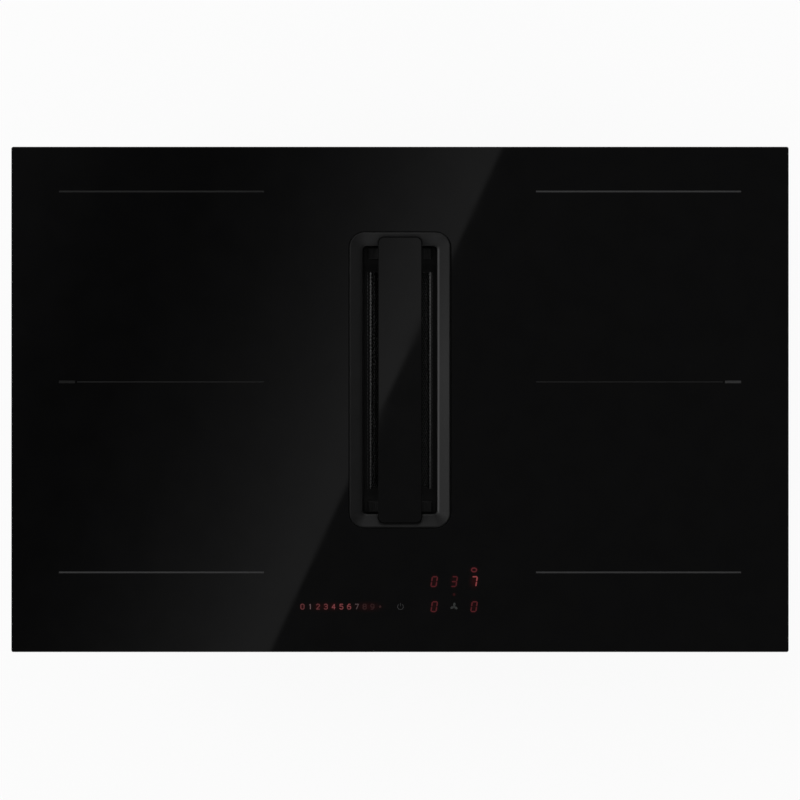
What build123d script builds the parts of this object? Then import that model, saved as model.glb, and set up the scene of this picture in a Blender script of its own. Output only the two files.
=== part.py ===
from build123d import *
import math
import os

# A downdraft induction cooktop: four cooking zones on one glass plate, with an extractor
# slot in the middle. Millimetres. +X is right, +Y is towards the back, +Z is up.
# The origin is the middle of the glass, on the worktop under the seal.

# ---- glass plate and its seal
GLASS_W = 800.0
GLASS_D = 520.0
GLASS_T = 4.0
GLASS_CORNER_R = 2.0
GLASS_BEVEL = 0.6
SEAL_T = 2.0
SEAL_W = 10.0
SEAL_INSET = 2.0

# ---- marks let flush into the glass
MARK_T = 0.12
ZONE_W = 211.0
ZONE_L = 196.0
ZONE_SIDE_INSET = 49.0          # side of the glass to a zone
ZONE_BACK_INSET = 46.0          # back of the glass to the rear zones
LINE_W = 1.7
MIDDLE_LINE_W = 1.1
BAR_L = 16.5
BAR_W = 2.6
BAR_GAP = 2.2

# ---- lit figures and keys
FIGURE_ROW_INSET = 46.7         # front of the glass to the lower row
FIGURE_ROW_PITCH = 25.8
FIGURE_X = 35.2
FIGURE_PITCH = 20.5
FIGURE_W = 5.2
FIGURE_H = 10.0
FIGURE_STROKE = 1.35
FIGURE_SLANT = 0.155
STROKE_OVERRUN = 0.35           # in stroke widths
SEGMENT_GAP = 0.12
SLIDER_X = -100.4
SLIDER_PITCH = 8.0
SLIDER_W = 3.3
SLIDER_H = 5.0
SLIDER_STROKE = 0.85
BOOST_R = 1.2
POWER_KEY_X = 0.5
POWER_KEY_R = 3.0
KEY_STROKE = 0.6
FAN_KEY_R = 4.1
FAN_KEY_HUB_R = 1.1
RING_W = 6.6
RING_H = 5.2
RING_STROKE = 1.3
RING_RISE = 12.0                # ring above the upper row
DOT_R = 1.3
DOT_RISE = 12.6                 # dot above the fan key

# ---- intake rim
INTAKE_Y = 20.0
RIM_W = 103.5
RIM_L = 303.5
RIM_R = 15.0
RIM_GAP = 1.2
RIM_LAND = 1.2
RIM_DROP = 5.0
RIM_EDGE_R = 0.5
RIM_MOUTH_R = 2.2
OPEN_W = 76.0
OPEN_L = 276.0
OPEN_R = 4.0
RIM_FLANGE_W = 10.0
RIM_FLANGE_T = 2.0
GASKET_T = 1.0
GASKET_INSET = 1.5
SKIRT_T = 2.0
SKIRT_DEPTH = 13.0

# ---- intake duct
SKIRT_CLEAR = 0.3
DUCT_WALL = 2.0
DUCT_FLANGE_W = 7.0
DUCT_FLANGE_T = 2.0
DUCT_BELOW_LID = 3.0
LEDGE_DROP = 5.0
LEDGE_T = 2.5

# ---- cover strip
COVER_W = 45.0
COVER_L = 294.0
COVER_T = 4.0
COVER_R = 6.0
COVER_BEVEL = 0.6
COVER_POCKET_GAP = 0.6
CARRIER_T = 1.5
CARRIER_INSET = 2.5
CARRIER_RIB_H = 6.0
CARRIER_RIB_T = 3.0
CARRIER_RIB_W = 30.0
PAD_T = 1.0
PAD_R = 3.2
PAD_SPREAD = 28.0

# ---- filter cassette
FILTER_CLEAR = 1.0
LEDGE_BEARING = 2.0
LEDGE_END_BEARING = 3.0
FRAME_T = 2.0
FRAME_BAR = 7.0
FRAME_END = 23.5
END_BLOCK_L = 12.0
END_BLOCK_INSET = 4.0
END_BLOCK_H = 6.0
END_BLOCK_BEVEL = 1.0
GRIP_W = 26.0
GRIP_L = 7.0
FRAME_BEAD_W = 0.8
FRAME_BEAD_H = 0.5
END_PLATE_T = 2.0
FILTER_DEPTH = 65.0
MESH_T = 1.0
MESH_HOLE_R = 2.6
MESH_PITCH = 8.0
MESH_MARGIN = 4.5
HEM_W = 2.8
HEM_H = 1.6
CHANNEL_W = 22.0
CHANNEL_H = 10.0
CHANNEL_WALL = 1.0
CHANNEL_LIP = 3.0

# ---- liquid container
CONTAINER_W = 66.0
CONTAINER_L = 262.0
CONTAINER_H = 37.0
CONTAINER_WALL = 1.5
CONTAINER_R = 10.0
CONTAINER_LIP = 1.5
CONTAINER_TAB_W = 24.0
CONTAINER_TAB_H = 9.0
CONTAINER_CLEAR = 1.0
GUIDE_T = 2.0
GUIDE_H = 9.0
GUIDE_L = 30.0

# ---- base tray
TRAY_SIDE_INSET = 27.5
TRAY_END_INSET = 18.0
TRAY_DEPTH = 54.0
TRAY_SHEET = 1.0
TRAY_R = 8.0
TRAY_LIP = 8.0
DUCT_HOLE_GAP = 0.7
LOUVRE_L = 26.0
LOUVRE_H = 4.0
LOUVRE_PITCH = 36.0
LOUVRE_COUNT = 8
LOUVRE_DROP = 16.0              # louvres below the tray's top edge
VENT_L = 40.0
VENT_W = 5.0
VENT_PITCH = 12.0
VENT_COUNT = 9
GRILLE_PITCH = 9.0
GRILLE_COUNT = 5
VENT_INSET = 14.0               # front wall to the floor vents
BEAD_W = 10.0
BEAD_L = 110.0
BEAD_H = 1.2
BEAD_BEVEL = 0.8
BEAD_PITCH = 26.0
BEAD_COUNT = 3

# ---- cooking coils, from the glass down
INSULATION_T = 1.5
INSULATION_HOLE_R = 8.0
WIRE_W = 3.2
WIRE_H = 3.2
WIRE_GAP = 0.8
COIL_TURNS = 15
COIL_INNER_R = 27.0
FORMER_T = 3.0
FORMER_MARGIN = 3.0
FORMER_SLOT_W = 6.0
FORMER_SLOT_SHARE = 0.7         # of the winding's width
FERRITE_T = 5.0
FERRITE_W = 14.0
FERRITE_L = 56.0
FERRITE_COUNT = 8
SENSOR_R = 5.0
SENSOR_BASE_R = 8.0
SENSOR_BASE_T = 2.0
SUPPORT_T = 1.5
SUPPORT_FOOT = 8.0
SUPPORT_SIDE_MARGIN = 6.0       # zone to the support's side
SUPPORT_END_MARGIN = 4.0
SUPPORT_ARCH_L = 60.0
SUPPORT_ARCH_H = 20.0
SUPPORT_ARCH_PITCH = 84.0

# ---- power electronics in the tray
BOARD_T = 1.6
STAND_OFF = 6.0
STAND_OFF_R = 3.5
BOARD_SIDE_GAP = 3.0
BOARD_FRONT_GAP = 62.0          # tray front to the power boards
BOARD_FAN_GAP = 16.0            # power boards to the fans behind them
SINK_W = 60.0
SINK_L = 180.0
SINK_H = 25.0
SINK_BASE_T = 5.0
SINK_FIN_T = 1.5
SINK_FINS = 11
SINK_FROM_FAN = 38.0
FAN_CASE_W = 94.0
FAN_CASE_H = 30.0
FAN_CASE_WALL = 2.0
FAN_CASE_R = 6.0
FAN_WHEEL_R = 35.0
FAN_SCROLL_GAP = 6.0
FAN_INLET_R = 26.0
FAN_SIDE_GAP = 8.5              # fans to the outer wall of the coils' support
FAN_BACK_GAP = 36.0             # tray back to the fans
FAN_PIN_R = 2.0
FAN_RUN_CLEAR = 0.05
FAN_HUB_R = 12.0
FAN_BLADES = 22
FAN_BLADE_T = 1.0
FAN_BLADE_L = 8.0
FAN_BLADE_TILT = 30.0
FAN_END_GAP = 3.0
CHOKE_R = 15.0
CHOKE_BORE_R = 6.5
CHOKE_H = 14.0
CHOKE_PITCH = 36.0
CAN_R = 9.0
CAN_H = 24.0
CAN_PITCH = 23.0
CAN_COUNT = 4
FILM_W = 40.0
FILM_D = 17.0
FILM_H = 22.0
FILM_PITCH = 25.0
RELAY_W = 20.0
RELAY_D = 15.0
RELAY_H = 16.0
RELAY_PITCH = 24.0
RELAY_COUNT = 4
PARTS_INSET = 8.0
TERMINAL_W = 56.0
TERMINAL_D = 18.0
TERMINAL_H = 14.0

# ---- control board behind the figures
DISPLAY_H = 8.4
MODULE_W = 15.0
MODULE_D = 18.0
SLIDER_MODULE_D = 11.0
CONTROL_MARGIN_X = 14.0
CONTROL_MARGIN_Y = 15.0
TOUCH_R = 5.0
BRACKET_T = 2.0
BRACKET_FOOT = 9.0

# ---- terminal cover and gland under the tray
TERMINAL_COVER_W = 90.0
TERMINAL_COVER_D = 60.0
TERMINAL_COVER_H = 28.0
TERMINAL_COVER_R = 5.0
COVER_WALL = 2.0
TERMINAL_FROM_SIDE = 142.5
TERMINAL_FROM_BACK = 17.0
GLAND_BORE_R = 6.25
GLAND_R = 8.0
GLAND_NUT_R = 11.0
GLAND_NUT_T = 6.0
GLAND_NOSE = 12.0

# ---- plenum box under the tray
PLENUM_X0 = -95.0
PLENUM_W = 385.0
PLENUM_FRONT_INSET = 92.0       # tray front to the plenum
PLENUM_D = 350.0
PLENUM_H = 148.0
PLENUM_WALL = 3.0
PLENUM_R = 18.0
PLENUM_EDGE_R = 6.0
LID_H = 58.0
LIP_W = 8.0
LIP_T = 2.5
RIB_T = 3.0
RIB_D = 5.0
RIB_PITCH = 55.0
POST_R = 6.0

# ---- extractor blower
IMPELLER_R = 80.0
IMPELLER_W = 70.0
BLADE_DEPTH = 14.0
BLADE_T = 1.4
BLADE_COUNT = 36
BLADE_TURN = 6.0                # degrees that a blade's tip leads its root
BLADE_MIDDLE_TURN = 1.2
SHROUD_T = 1.5
DISC_T = 2.5
CUTOFF_GAP = 14.0
VOLUTE_STEP = 11.0
SCROLL_H = 84.0
SCROLL_WALL = 2.5
INLET_OVERLAP = 18.0            # the inlet is this much smaller than the wheel, in radius
INLET_LIP = 4.0
BLOWER_SIDE_GAP = 3.0
BLOWER_FRONT_GAP = 24.0
THROAT_L = 85.0                 # blower axis to the scroll's outlet face
EAR_R = 5.5
EAR_HEAD_GAP = 0.4
EAR_T = 4.0
SHAFT_R = 4.0
SHAFT_END_GAP = 0.5
HUB_R = 12.0
HUB_L = 20.0
MOTOR_R = 35.0
MOTOR_H = 37.0
MOTOR_RIM_R = 3.0
BEARING_R = 11.0
BEARING_T = 7.0
BEARING_CLEAR = 0.05
MOTOR_BORE_R = 7.0
SPIDER_T = 3.0
SPIDER_RING_W = 7.0
SPIDER_ARM_W = 9.0
SPIDER_HUB_R = 30.0

# ---- outlet duct, for flat duct of 222 by 89
OUTLET_W = 222.0
OUTLET_H = 89.0
OUTLET_WALL = 2.0
OUTLET_R = 10.0
OUTLET_COLLAR = 40.0
OUTLET_FLANGE_W = 6.0
OUTLET_FLANGE_T = 3.0
OUTLET_GAP = 0.5

# ---- blower driver box and its lead
DRIVER_W = 100.0
DRIVER_D = 120.0
DRIVER_H = 35.0
DRIVER_R = 4.0
DRIVER_GAP = 5.0
LEAD_R = 2.5
LEAD_BEND_R = 20.0
LEAD_IN = 25.0                  # driver box end to the lead, and the lead's reach past its face
LEAD_DROP = 18.0

# ---- screws and worktop clamps
SCREW_R = 2.0
SCREW_HEAD_R = 4.0
SCREW_HEAD_H = 2.4
RECESS_W = 1.0
RECESS_L = 4.6
RECESS_T = 1.3
LID_SCREW_INSET = 20.0
CLAMP_W = 20.0
CLAMP_REACH = 46.0
CLAMP_T = 2.5
CLAMP_END_R = 9.5
CLAMP_GAP = 0.5
CLAMP_PIVOT_R = 2.5
CLAMP_RUN_CLEAR = 0.08
CLAMP_HEAD_GAP = 0.4
CLAMP_SIDE_INSET = 22.5
CLAMP_END_INSET = 92.0          # tray end to a clamp's pivot
CLAMP_RIDGE_L = 26.0
CLAMP_RIDGE_W = 6.0
CLAMP_RIDGE_H = 1.0
CLAMP_RIDGE_R = 2.4

# ---- heights and places that follow from the sizes above
SIDES = {"left": -1, "right": 1}
GLASS_TOP = SEAL_T + GLASS_T
RIM_Z = SEAL_T - GASKET_T - RIM_FLANGE_T
FUNNEL_Z = GLASS_TOP - RIM_DROP
SKIRT_Z = RIM_Z - SKIRT_DEPTH
LEDGE_Z = SKIRT_Z - LEDGE_DROP
TRAY_W = GLASS_W - 2 * TRAY_SIDE_INSET
TRAY_D = GLASS_D - 2 * TRAY_END_INSET
TRAY_Z = SEAL_T - TRAY_DEPTH
FLOOR_Z = TRAY_Z + TRAY_SHEET
DUCT_W = OPEN_W + 2 * (SKIRT_T + SKIRT_CLEAR)
DUCT_L = OPEN_L + 2 * (SKIRT_T + SKIRT_CLEAR)
DUCT_R = OPEN_R + SKIRT_T + SKIRT_CLEAR

ZONE_X1 = GLASS_W / 2 - ZONE_SIDE_INSET
ZONE_X0 = ZONE_X1 - ZONE_W
ZONE_X = (ZONE_X0 + ZONE_X1) / 2
ZONE_BACK = GLASS_D / 2 - ZONE_BACK_INSET
ZONE_MIDDLE = ZONE_BACK - ZONE_L
ZONE_FRONT = ZONE_MIDDLE - ZONE_L
COIL_PLACES = {
    "rear_left": (-ZONE_X, ZONE_BACK - ZONE_L / 2),
    "rear_right": (ZONE_X, ZONE_BACK - ZONE_L / 2),
    "front_left": (-ZONE_X, ZONE_MIDDLE - ZONE_L / 2),
    "front_right": (ZONE_X, ZONE_MIDDLE - ZONE_L / 2),
}
FIGURE_ROW = FIGURE_ROW_INSET - GLASS_D / 2
UPPER_ROW = FIGURE_ROW + FIGURE_ROW_PITCH
FIGURE_PLACES = [
    ("0", 0, UPPER_ROW),
    ("3", 1, UPPER_ROW),
    ("7", 2, UPPER_ROW),
    ("0", 0, FIGURE_ROW),
    ("0", 2, FIGURE_ROW),
]
FAN_KEY_X = FIGURE_X + FIGURE_PITCH

FILTER_W = OPEN_W - 2 * FILTER_CLEAR
FILTER_L = OPEN_L - 2 * FILTER_CLEAR
FRAME_Z = LEDGE_Z + FRAME_T
MESH_X = FILTER_W / 2 - FRAME_BAR
MESH_L = FILTER_L - 2 * FRAME_END - 2 * END_PLATE_T
FILTER_Z = FRAME_Z - FILTER_DEPTH
PAD_Z = FUNNEL_Z
COVER_Z = PAD_Z + PAD_T + CARRIER_T

INSULATION_Z = SEAL_T - INSULATION_T
WIRE_Z = INSULATION_Z - WIRE_H
FORMER_Z = WIRE_Z - FORMER_T
FERRITE_Z = FORMER_Z - FERRITE_T
SUPPORT_Z = FERRITE_Z - SUPPORT_T
WIRE_PITCH = WIRE_W + WIRE_GAP
COIL_R = COIL_INNER_R + COIL_TURNS * WIRE_PITCH
SUPPORT_X0 = ZONE_X0 - SUPPORT_SIDE_MARGIN
SUPPORT_X1 = ZONE_X1 + SUPPORT_SIDE_MARGIN
SUPPORT_Y0 = ZONE_FRONT - SUPPORT_END_MARGIN
SUPPORT_Y1 = ZONE_BACK + SUPPORT_END_MARGIN

BOARD_Z = FLOOR_Z + STAND_OFF
BOARD_TOP = BOARD_Z + BOARD_T
BOARD_X0 = SUPPORT_X0 + SUPPORT_T + BOARD_SIDE_GAP
BOARD_X1 = SUPPORT_X1 - SUPPORT_T - BOARD_SIDE_GAP
FAN_X = SUPPORT_X1 - SUPPORT_T - FAN_SIDE_GAP - FAN_CASE_W / 2
FAN_Y = TRAY_D / 2 - FAN_BACK_GAP - FAN_CASE_W / 2
BOARD_Y0 = BOARD_FRONT_GAP - TRAY_D / 2
BOARD_Y1 = FAN_Y - FAN_CASE_W / 2 - BOARD_FAN_GAP
FAN_CASE_Z1 = FLOOR_Z + FAN_CASE_H
SINK_Y1 = FAN_Y - FAN_CASE_W / 2 - SINK_FROM_FAN

CONTROL_TOP = SEAL_T - DISPLAY_H
CONTROL_Z = CONTROL_TOP - BOARD_T
CONTROL_X0 = SLIDER_X - CONTROL_MARGIN_X
CONTROL_X1 = FIGURE_X + 2 * FIGURE_PITCH + CONTROL_MARGIN_X
CONTROL_Y0 = FIGURE_ROW - CONTROL_MARGIN_Y
CONTROL_Y1 = UPPER_ROW + CONTROL_MARGIN_Y

PLENUM_X1 = PLENUM_X0 + PLENUM_W
PLENUM_X = (PLENUM_X0 + PLENUM_X1) / 2
PLENUM_Y0 = PLENUM_FRONT_INSET - TRAY_D / 2
PLENUM_Y1 = PLENUM_Y0 + PLENUM_D
PLENUM_Y = (PLENUM_Y0 + PLENUM_Y1) / 2
PLENUM_Z = TRAY_Z - PLENUM_H
PLENUM_FLOOR = PLENUM_Z + PLENUM_WALL
SPLIT_Z = TRAY_Z - LID_H
BLOWER_Z = (TRAY_Z - PLENUM_WALL + PLENUM_FLOOR) / 2
VOLUTE_R = IMPELLER_R + CUTOFF_GAP
INLET_R = IMPELLER_R - INLET_OVERLAP
BLOWER_X = PLENUM_X1 - PLENUM_WALL - BLOWER_SIDE_GAP - SCROLL_WALL - VOLUTE_R - 2.5 * VOLUTE_STEP
BLOWER_Y = PLENUM_Y0 + PLENUM_WALL + BLOWER_FRONT_GAP + SCROLL_WALL + VOLUTE_R + 1.5 * VOLUTE_STEP
SCROLL_Z0 = BLOWER_Z - SCROLL_H / 2
THROAT_X1 = BLOWER_X + VOLUTE_R + 2.5 * VOLUTE_STEP
THROAT_X0 = BLOWER_X - VOLUTE_STEP / 2 + VOLUTE_R / 2
THROAT_Y = BLOWER_Y + THROAT_L
MOTOR_Z1 = SCROLL_Z0 + MOTOR_H
OUTLET_X = PLENUM_X1 - PLENUM_R - OUTLET_FLANGE_W - OUTLET_W / 2
OUTLET_Y = PLENUM_Y1 + OUTLET_COLLAR

DRIVER_X1 = PLENUM_X0 - DRIVER_GAP
DRIVER_X0 = DRIVER_X1 - DRIVER_W
DRIVER_Z = TRAY_Z - DRIVER_H
TERMINAL_X0 = TERMINAL_FROM_SIDE - TRAY_W / 2
TERMINAL_X1 = TERMINAL_X0 + TERMINAL_COVER_W
TERMINAL_Y1 = TRAY_D / 2 - TERMINAL_FROM_BACK
TERMINAL_Y0 = TERMINAL_Y1 - TERMINAL_COVER_D
TERMINAL_Z = TRAY_Z - TERMINAL_COVER_H
CLAMP_X = TRAY_W / 2 - CLAMP_SIDE_INSET
CLAMP_Y = TRAY_D / 2 - CLAMP_END_INSET
CLAMP_Z = TRAY_Z - CLAMP_GAP - CLAMP_T

SEGMENTS_LIT = {"0": "abcdef", "3": "abcdg", "7": "abc"}
# Slider figures as strokes on a grid 4 wide and 6 high.
SLIDER_STROKES = {
    "0": [[(1, 0), (3, 0), (4, 1), (4, 5), (3, 6), (1, 6), (0, 5), (0, 1), (1, 0)]],
    "1": [[(1, 5), (2.2, 6), (2.2, 0)]],
    "2": [[(0, 5), (1, 6), (3, 6), (4, 5), (4, 4), (0, 0), (4, 0)]],
    "3": [[(0, 5), (1, 6), (3, 6), (4, 5), (4, 4), (3, 3.2), (1.5, 3.2)],
          [(3, 3.2), (4, 2.4), (4, 1), (3, 0), (1, 0), (0, 1)]],
    "4": [[(3, 0), (3, 6), (0, 1.8), (4, 1.8)]],
    "5": [[(4, 6), (0.4, 6), (0.4, 3.6), (3, 3.6), (4, 2.6), (4, 1), (3, 0), (1, 0), (0, 1)]],
    "6": [[(3.6, 6), (1.5, 6), (0, 4), (0, 1), (1, 0), (3, 0), (4, 1), (4, 2.6), (3, 3.6), (0, 3.6)]],
    "7": [[(0, 6), (4, 6), (1.4, 0)]],
    "8": [[(1, 3.2), (0, 4.2), (0, 5), (1, 6), (3, 6), (4, 5), (4, 4.2), (3, 3.2), (1, 3.2)],
          [(1, 3.2), (0, 2.2), (0, 1), (1, 0), (3, 0), (4, 1), (4, 2.2), (3, 3.2)]],
    "9": [[(0.4, 0), (2.5, 0), (4, 2), (4, 5), (3, 6), (1, 6), (0, 5), (0, 3.4), (1, 2.4), (4, 2.4)]],
}
# One blade of the fan symbol, in shares of the symbol's radius.
FAN_BLADE = [(-0.16, 0.0), (-0.26, 0.6), (-0.06, 1.0), (0.26, 0.96), (0.4, 0.56), (0.16, 0.0)]


# ---- shapes used all over
def block(x0, x1, y0, y1, z0, z1):
    """A box between two values on each axis."""
    centre = Pos((x0 + x1) / 2, (y0 + y1) / 2, (z0 + z1) / 2)
    return centre * Box(abs(x1 - x0), abs(y1 - y0), abs(z1 - z0))


def rise(sketch, z0, z1):
    """A flat drawing at height 0, drawn up from z0 to z1."""
    return Pos(0, 0, z0) * extrude(sketch, amount=z1 - z0, dir=(0, 0, 1))


def plate(width, length, z0, z1, radius=0.0, x=0.0, y=0.0):
    """A flat plate with rounded corners."""
    outline = RectangleRounded(width, length, radius) if radius > 0 else Rectangle(width, length)
    return rise(Pos(x, y) * outline, z0, z1)


def frame_plate(width, length, bar, z0, z1, radius, x=0.0, y=0.0):
    """A plate with rounded corners and a window that leaves a bar all round."""
    window = plate(width - 2 * bar, length - 2 * bar, z0, z1, max(radius - bar, 0.5), x, y)
    return plate(width, length, z0, z1, radius, x, y) - window


def rod(radius, z0, z1, x=0.0, y=0.0):
    """An upright cylinder."""
    return Pos(x, y, (z0 + z1) / 2) * Cylinder(radius, z1 - z0)


def tube(outer, inner, z0, z1, x=0.0, y=0.0):
    """An upright pipe."""
    return rod(outer, z0, z1, x, y) - rod(inner, z0, z1, x, y)


def along_y(points, y0, y1):
    """A profile of (x, z) points drawn along Y."""
    face = make_face(Polyline(*[(x, y0, z) for x, z in points], close=True))
    return extrude(face, amount=y1 - y0, dir=(0, 1, 0))


def group(pieces):
    """Separate solids kept together as one sub-part."""
    return Compound([solid for piece in pieces for solid in piece.solids()])


def polar(centre, radius, degrees):
    """A point on a circle."""
    angle = math.radians(degrees)
    return (centre[0] + radius * math.cos(angle), centre[1] + radius * math.sin(angle))


def spaced(count, pitch, middle=0.0):
    """Evenly spaced values about a middle."""
    return [middle + (i - (count - 1) / 2) * pitch for i in range(count)]


def screw(x, y, seat, length, up=1, radius=SCREW_R, recess=True):
    """A cross-head screw: its head lies on the seat, its shank goes the other way."""
    low, high = sorted((seat, seat - up * length))
    body = rod(radius, low, high, x, y)
    low, high = sorted((seat, seat + up * SCREW_HEAD_H))
    head = rod(SCREW_HEAD_R, low, high, x, y)
    if recess:
        top = seat + up * SCREW_HEAD_H
        low, high = sorted((top, top - up * RECESS_T))
        head -= block(x - RECESS_L / 2, x + RECESS_L / 2, y - RECESS_W / 2, y + RECESS_W / 2, low, high)
        head -= block(x - RECESS_W / 2, x + RECESS_W / 2, y - RECESS_L / 2, y + RECESS_L / 2, low, high)
    return body + head


def screw_holes(places, z0, z1):
    """Holes for screws at (x, y) places."""
    return [rod(SCREW_R, z0, z1, x, y) for x, y in places]


# ---- marks on the glass
def stroke(points, width):
    """A pen stroke of one width along a line of points."""
    bars = []
    for (xa, ya), (xb, yb) in zip(points, points[1:]):
        length = math.hypot(xb - xa, yb - ya) + STROKE_OVERRUN * width
        turn = math.degrees(math.atan2(yb - ya, xb - xa))
        middle = Pos((xa + xb) / 2, (ya + yb) / 2)
        bars.append(middle * Rot(0, 0, turn) * Rectangle(length, width))
    return Sketch() + bars


def segment(start, end, x, y):
    """One six-sided segment of a display figure, slanted with it."""
    (xa, ya), (xb, yb) = start, end
    length = math.hypot(xb - xa, yb - ya)
    ux, uy = (xb - xa) / length, (yb - ya) / length
    half = FIGURE_STROKE / 2
    shoulder = half + SEGMENT_GAP
    along = [SEGMENT_GAP, shoulder, length - shoulder, length - SEGMENT_GAP, length - shoulder, shoulder]
    across = [0, -half, -half, 0, half, half]
    corners = []
    for a, c in zip(along, across):
        px, py = xa + a * ux - c * uy, ya + a * uy + c * ux
        corners.append((x + px + FIGURE_SLANT * py, y + py))
    return Polygon(*corners)


def figure(digit, x, y):
    """A seven-segment figure centred on a place."""
    w = FIGURE_W / 2
    h = FIGURE_H / 2
    ends = {
        "a": ((-w, h), (w, h)),
        "b": ((w, 0), (w, h)),
        "c": ((w, -h), (w, 0)),
        "d": ((-w, -h), (w, -h)),
        "e": ((-w, -h), (-w, 0)),
        "f": ((-w, 0), (-w, h)),
        "g": ((-w, 0), (w, 0)),
    }
    return [segment(*ends[name], x, y) for name in SEGMENTS_LIT[digit]]


def oval(width, height, x, y, sides=16):
    """A many-sided oval."""
    turns = [2 * math.pi * i / sides for i in range(sides)]
    return Polygon(*[(x + width / 2 * math.cos(a), y + height / 2 * math.sin(a)) for a in turns])


def inlay(faces):
    """Marks set flush into the top of the glass."""
    return group([rise(face, GLASS_TOP - MARK_T, GLASS_TOP) for face in faces])


def zone_lines():
    faces = []
    for side in (-1, 1):
        outer_lines = [Pos(side * ZONE_X, y) * Rectangle(ZONE_W, LINE_W) for y in (ZONE_BACK, ZONE_FRONT)]
        bar_x = side * (ZONE_X1 - BAR_L / 2)
        bar = Pos(bar_x, ZONE_MIDDLE) * Rectangle(BAR_L, BAR_W)
        middle_l = ZONE_W - BAR_L - BAR_GAP
        middle = Pos(side * (ZONE_X0 + middle_l / 2), ZONE_MIDDLE) * Rectangle(middle_l, MIDDLE_LINE_W)
        faces += outer_lines + [bar, middle]
    return inlay(faces)


def display_digits():
    faces = []
    for digit, column, y in FIGURE_PLACES:
        faces += figure(digit, FIGURE_X + column * FIGURE_PITCH, y)
    ring_x = FIGURE_X + 2 * FIGURE_PITCH
    ring_y = UPPER_ROW + RING_RISE
    hole = oval(RING_W - 2 * RING_STROKE, RING_H - 2 * RING_STROKE, ring_x, ring_y)
    faces.append(oval(RING_W, RING_H, ring_x, ring_y) - hole)
    faces.append(oval(2 * DOT_R, 2 * DOT_R, FAN_KEY_X, FIGURE_ROW + DOT_RISE, 10))
    return inlay(faces)


def slider_digits():
    faces = []
    for place, digit in enumerate("0123456789"):
        x = SLIDER_X + place * SLIDER_PITCH
        bars = []
        for line in SLIDER_STROKES[digit]:
            grid = [(x + (u / 4 - 0.5) * SLIDER_W, FIGURE_ROW + (v / 6 - 0.5) * SLIDER_H) for u, v in line]
            bars.append(stroke(grid, SLIDER_STROKE))
        faces.append(Sketch() + bars)
    faces.append(oval(2 * BOOST_R, 2 * BOOST_R, SLIDER_X + 10 * SLIDER_PITCH, FIGURE_ROW, 10))
    return inlay(faces)


def key_symbols():
    centre = (POWER_KEY_X, FIGURE_ROW)
    arc = stroke([polar(centre, POWER_KEY_R, a) for a in range(130, 411, 20)], KEY_STROKE)
    line = stroke([polar(centre, 0.2 * POWER_KEY_R, 90), polar(centre, 1.15 * POWER_KEY_R, 90)], KEY_STROKE)
    outline = [(u * FAN_KEY_R, v * FAN_KEY_R) for u, v in FAN_BLADE]
    blades = [Rot(0, 0, turn) * Polygon(*outline) for turn in (0, 120, 240)]
    fan = Circle(FAN_KEY_HUB_R) + blades
    return inlay([arc, line, Pos(FAN_KEY_X, FIGURE_ROW) * fan])


# ---- glass and intake
def glass_top(marks):
    body = plate(GLASS_W, GLASS_D, SEAL_T, GLASS_TOP, GLASS_CORNER_R)
    body = chamfer(body.faces().sort_by(Axis.Z)[-1].edges(), GLASS_BEVEL)
    body -= plate(RIM_W + 2 * RIM_GAP, RIM_L + 2 * RIM_GAP, SEAL_T, GLASS_TOP, RIM_R + RIM_GAP, y=INTAKE_Y)
    return body - group(marks)


def worktop_seal():
    width = GLASS_W - 2 * SEAL_INSET
    length = GLASS_D - 2 * SEAL_INSET
    return frame_plate(width, length, SEAL_W, 0, SEAL_T, GLASS_CORNER_R)


def cover_pocket():
    """The level seats for the ends of the cover strip, cut into the sloped rim."""
    gap = COVER_POCKET_GAP
    return plate(COVER_W + 2 * gap, COVER_L + 2 * gap, FUNNEL_Z, GLASS_TOP, COVER_R + gap, y=INTAKE_Y)


def intake_rim():
    flange_w = RIM_W + 2 * RIM_FLANGE_W
    flange_l = RIM_L + 2 * RIM_FLANGE_W
    body = plate(RIM_W, RIM_L, RIM_Z, GLASS_TOP, RIM_R, y=INTAKE_Y)
    body += plate(flange_w, flange_l, RIM_Z, RIM_Z + RIM_FLANGE_T, RIM_R + RIM_FLANGE_W, y=INTAKE_Y)
    body += plate(OPEN_W + 2 * SKIRT_T, OPEN_L + 2 * SKIRT_T, SKIRT_Z, RIM_Z, OPEN_R + SKIRT_T, y=INTAKE_Y)
    low = Pos(0, INTAKE_Y, FUNNEL_Z) * RectangleRounded(OPEN_W, OPEN_L, OPEN_R)
    top_w = RIM_W - 2 * RIM_LAND
    top_l = RIM_L - 2 * RIM_LAND
    high = Pos(0, INTAKE_Y, GLASS_TOP) * RectangleRounded(top_w, top_l, RIM_R - RIM_LAND)
    body -= loft([low, high], ruled=True)
    body -= plate(OPEN_W, OPEN_L, SKIRT_Z, FUNNEL_Z, OPEN_R, y=INTAKE_Y)
    mouth = [edge for edge in body.edges() if abs(edge.center().Z - FUNNEL_Z) < 1e-6
             and edge.bounding_box().size.Z < 1e-6]
    mouth = [edge for edge in mouth if abs(edge.center().X) < OPEN_W / 2 + 1e-3
             and abs(edge.center().Y - INTAKE_Y) < OPEN_L / 2 + 1e-3]
    body = fillet(mouth, RIM_MOUTH_R)
    outer = body.faces().sort_by(Axis.Z)[-1].outer_wire().edges()
    body = fillet(outer, RIM_EDGE_R)
    return body - cover_pocket()


def rim_gasket():
    width = RIM_W + 2 * (RIM_FLANGE_W - GASKET_INSET)
    length = RIM_L + 2 * (RIM_FLANGE_W - GASKET_INSET)
    bar = RIM_FLANGE_W - GASKET_INSET - RIM_GAP
    return frame_plate(width, length, bar, SEAL_T - GASKET_T, SEAL_T, RIM_R + RIM_FLANGE_W, y=INTAKE_Y)


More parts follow.
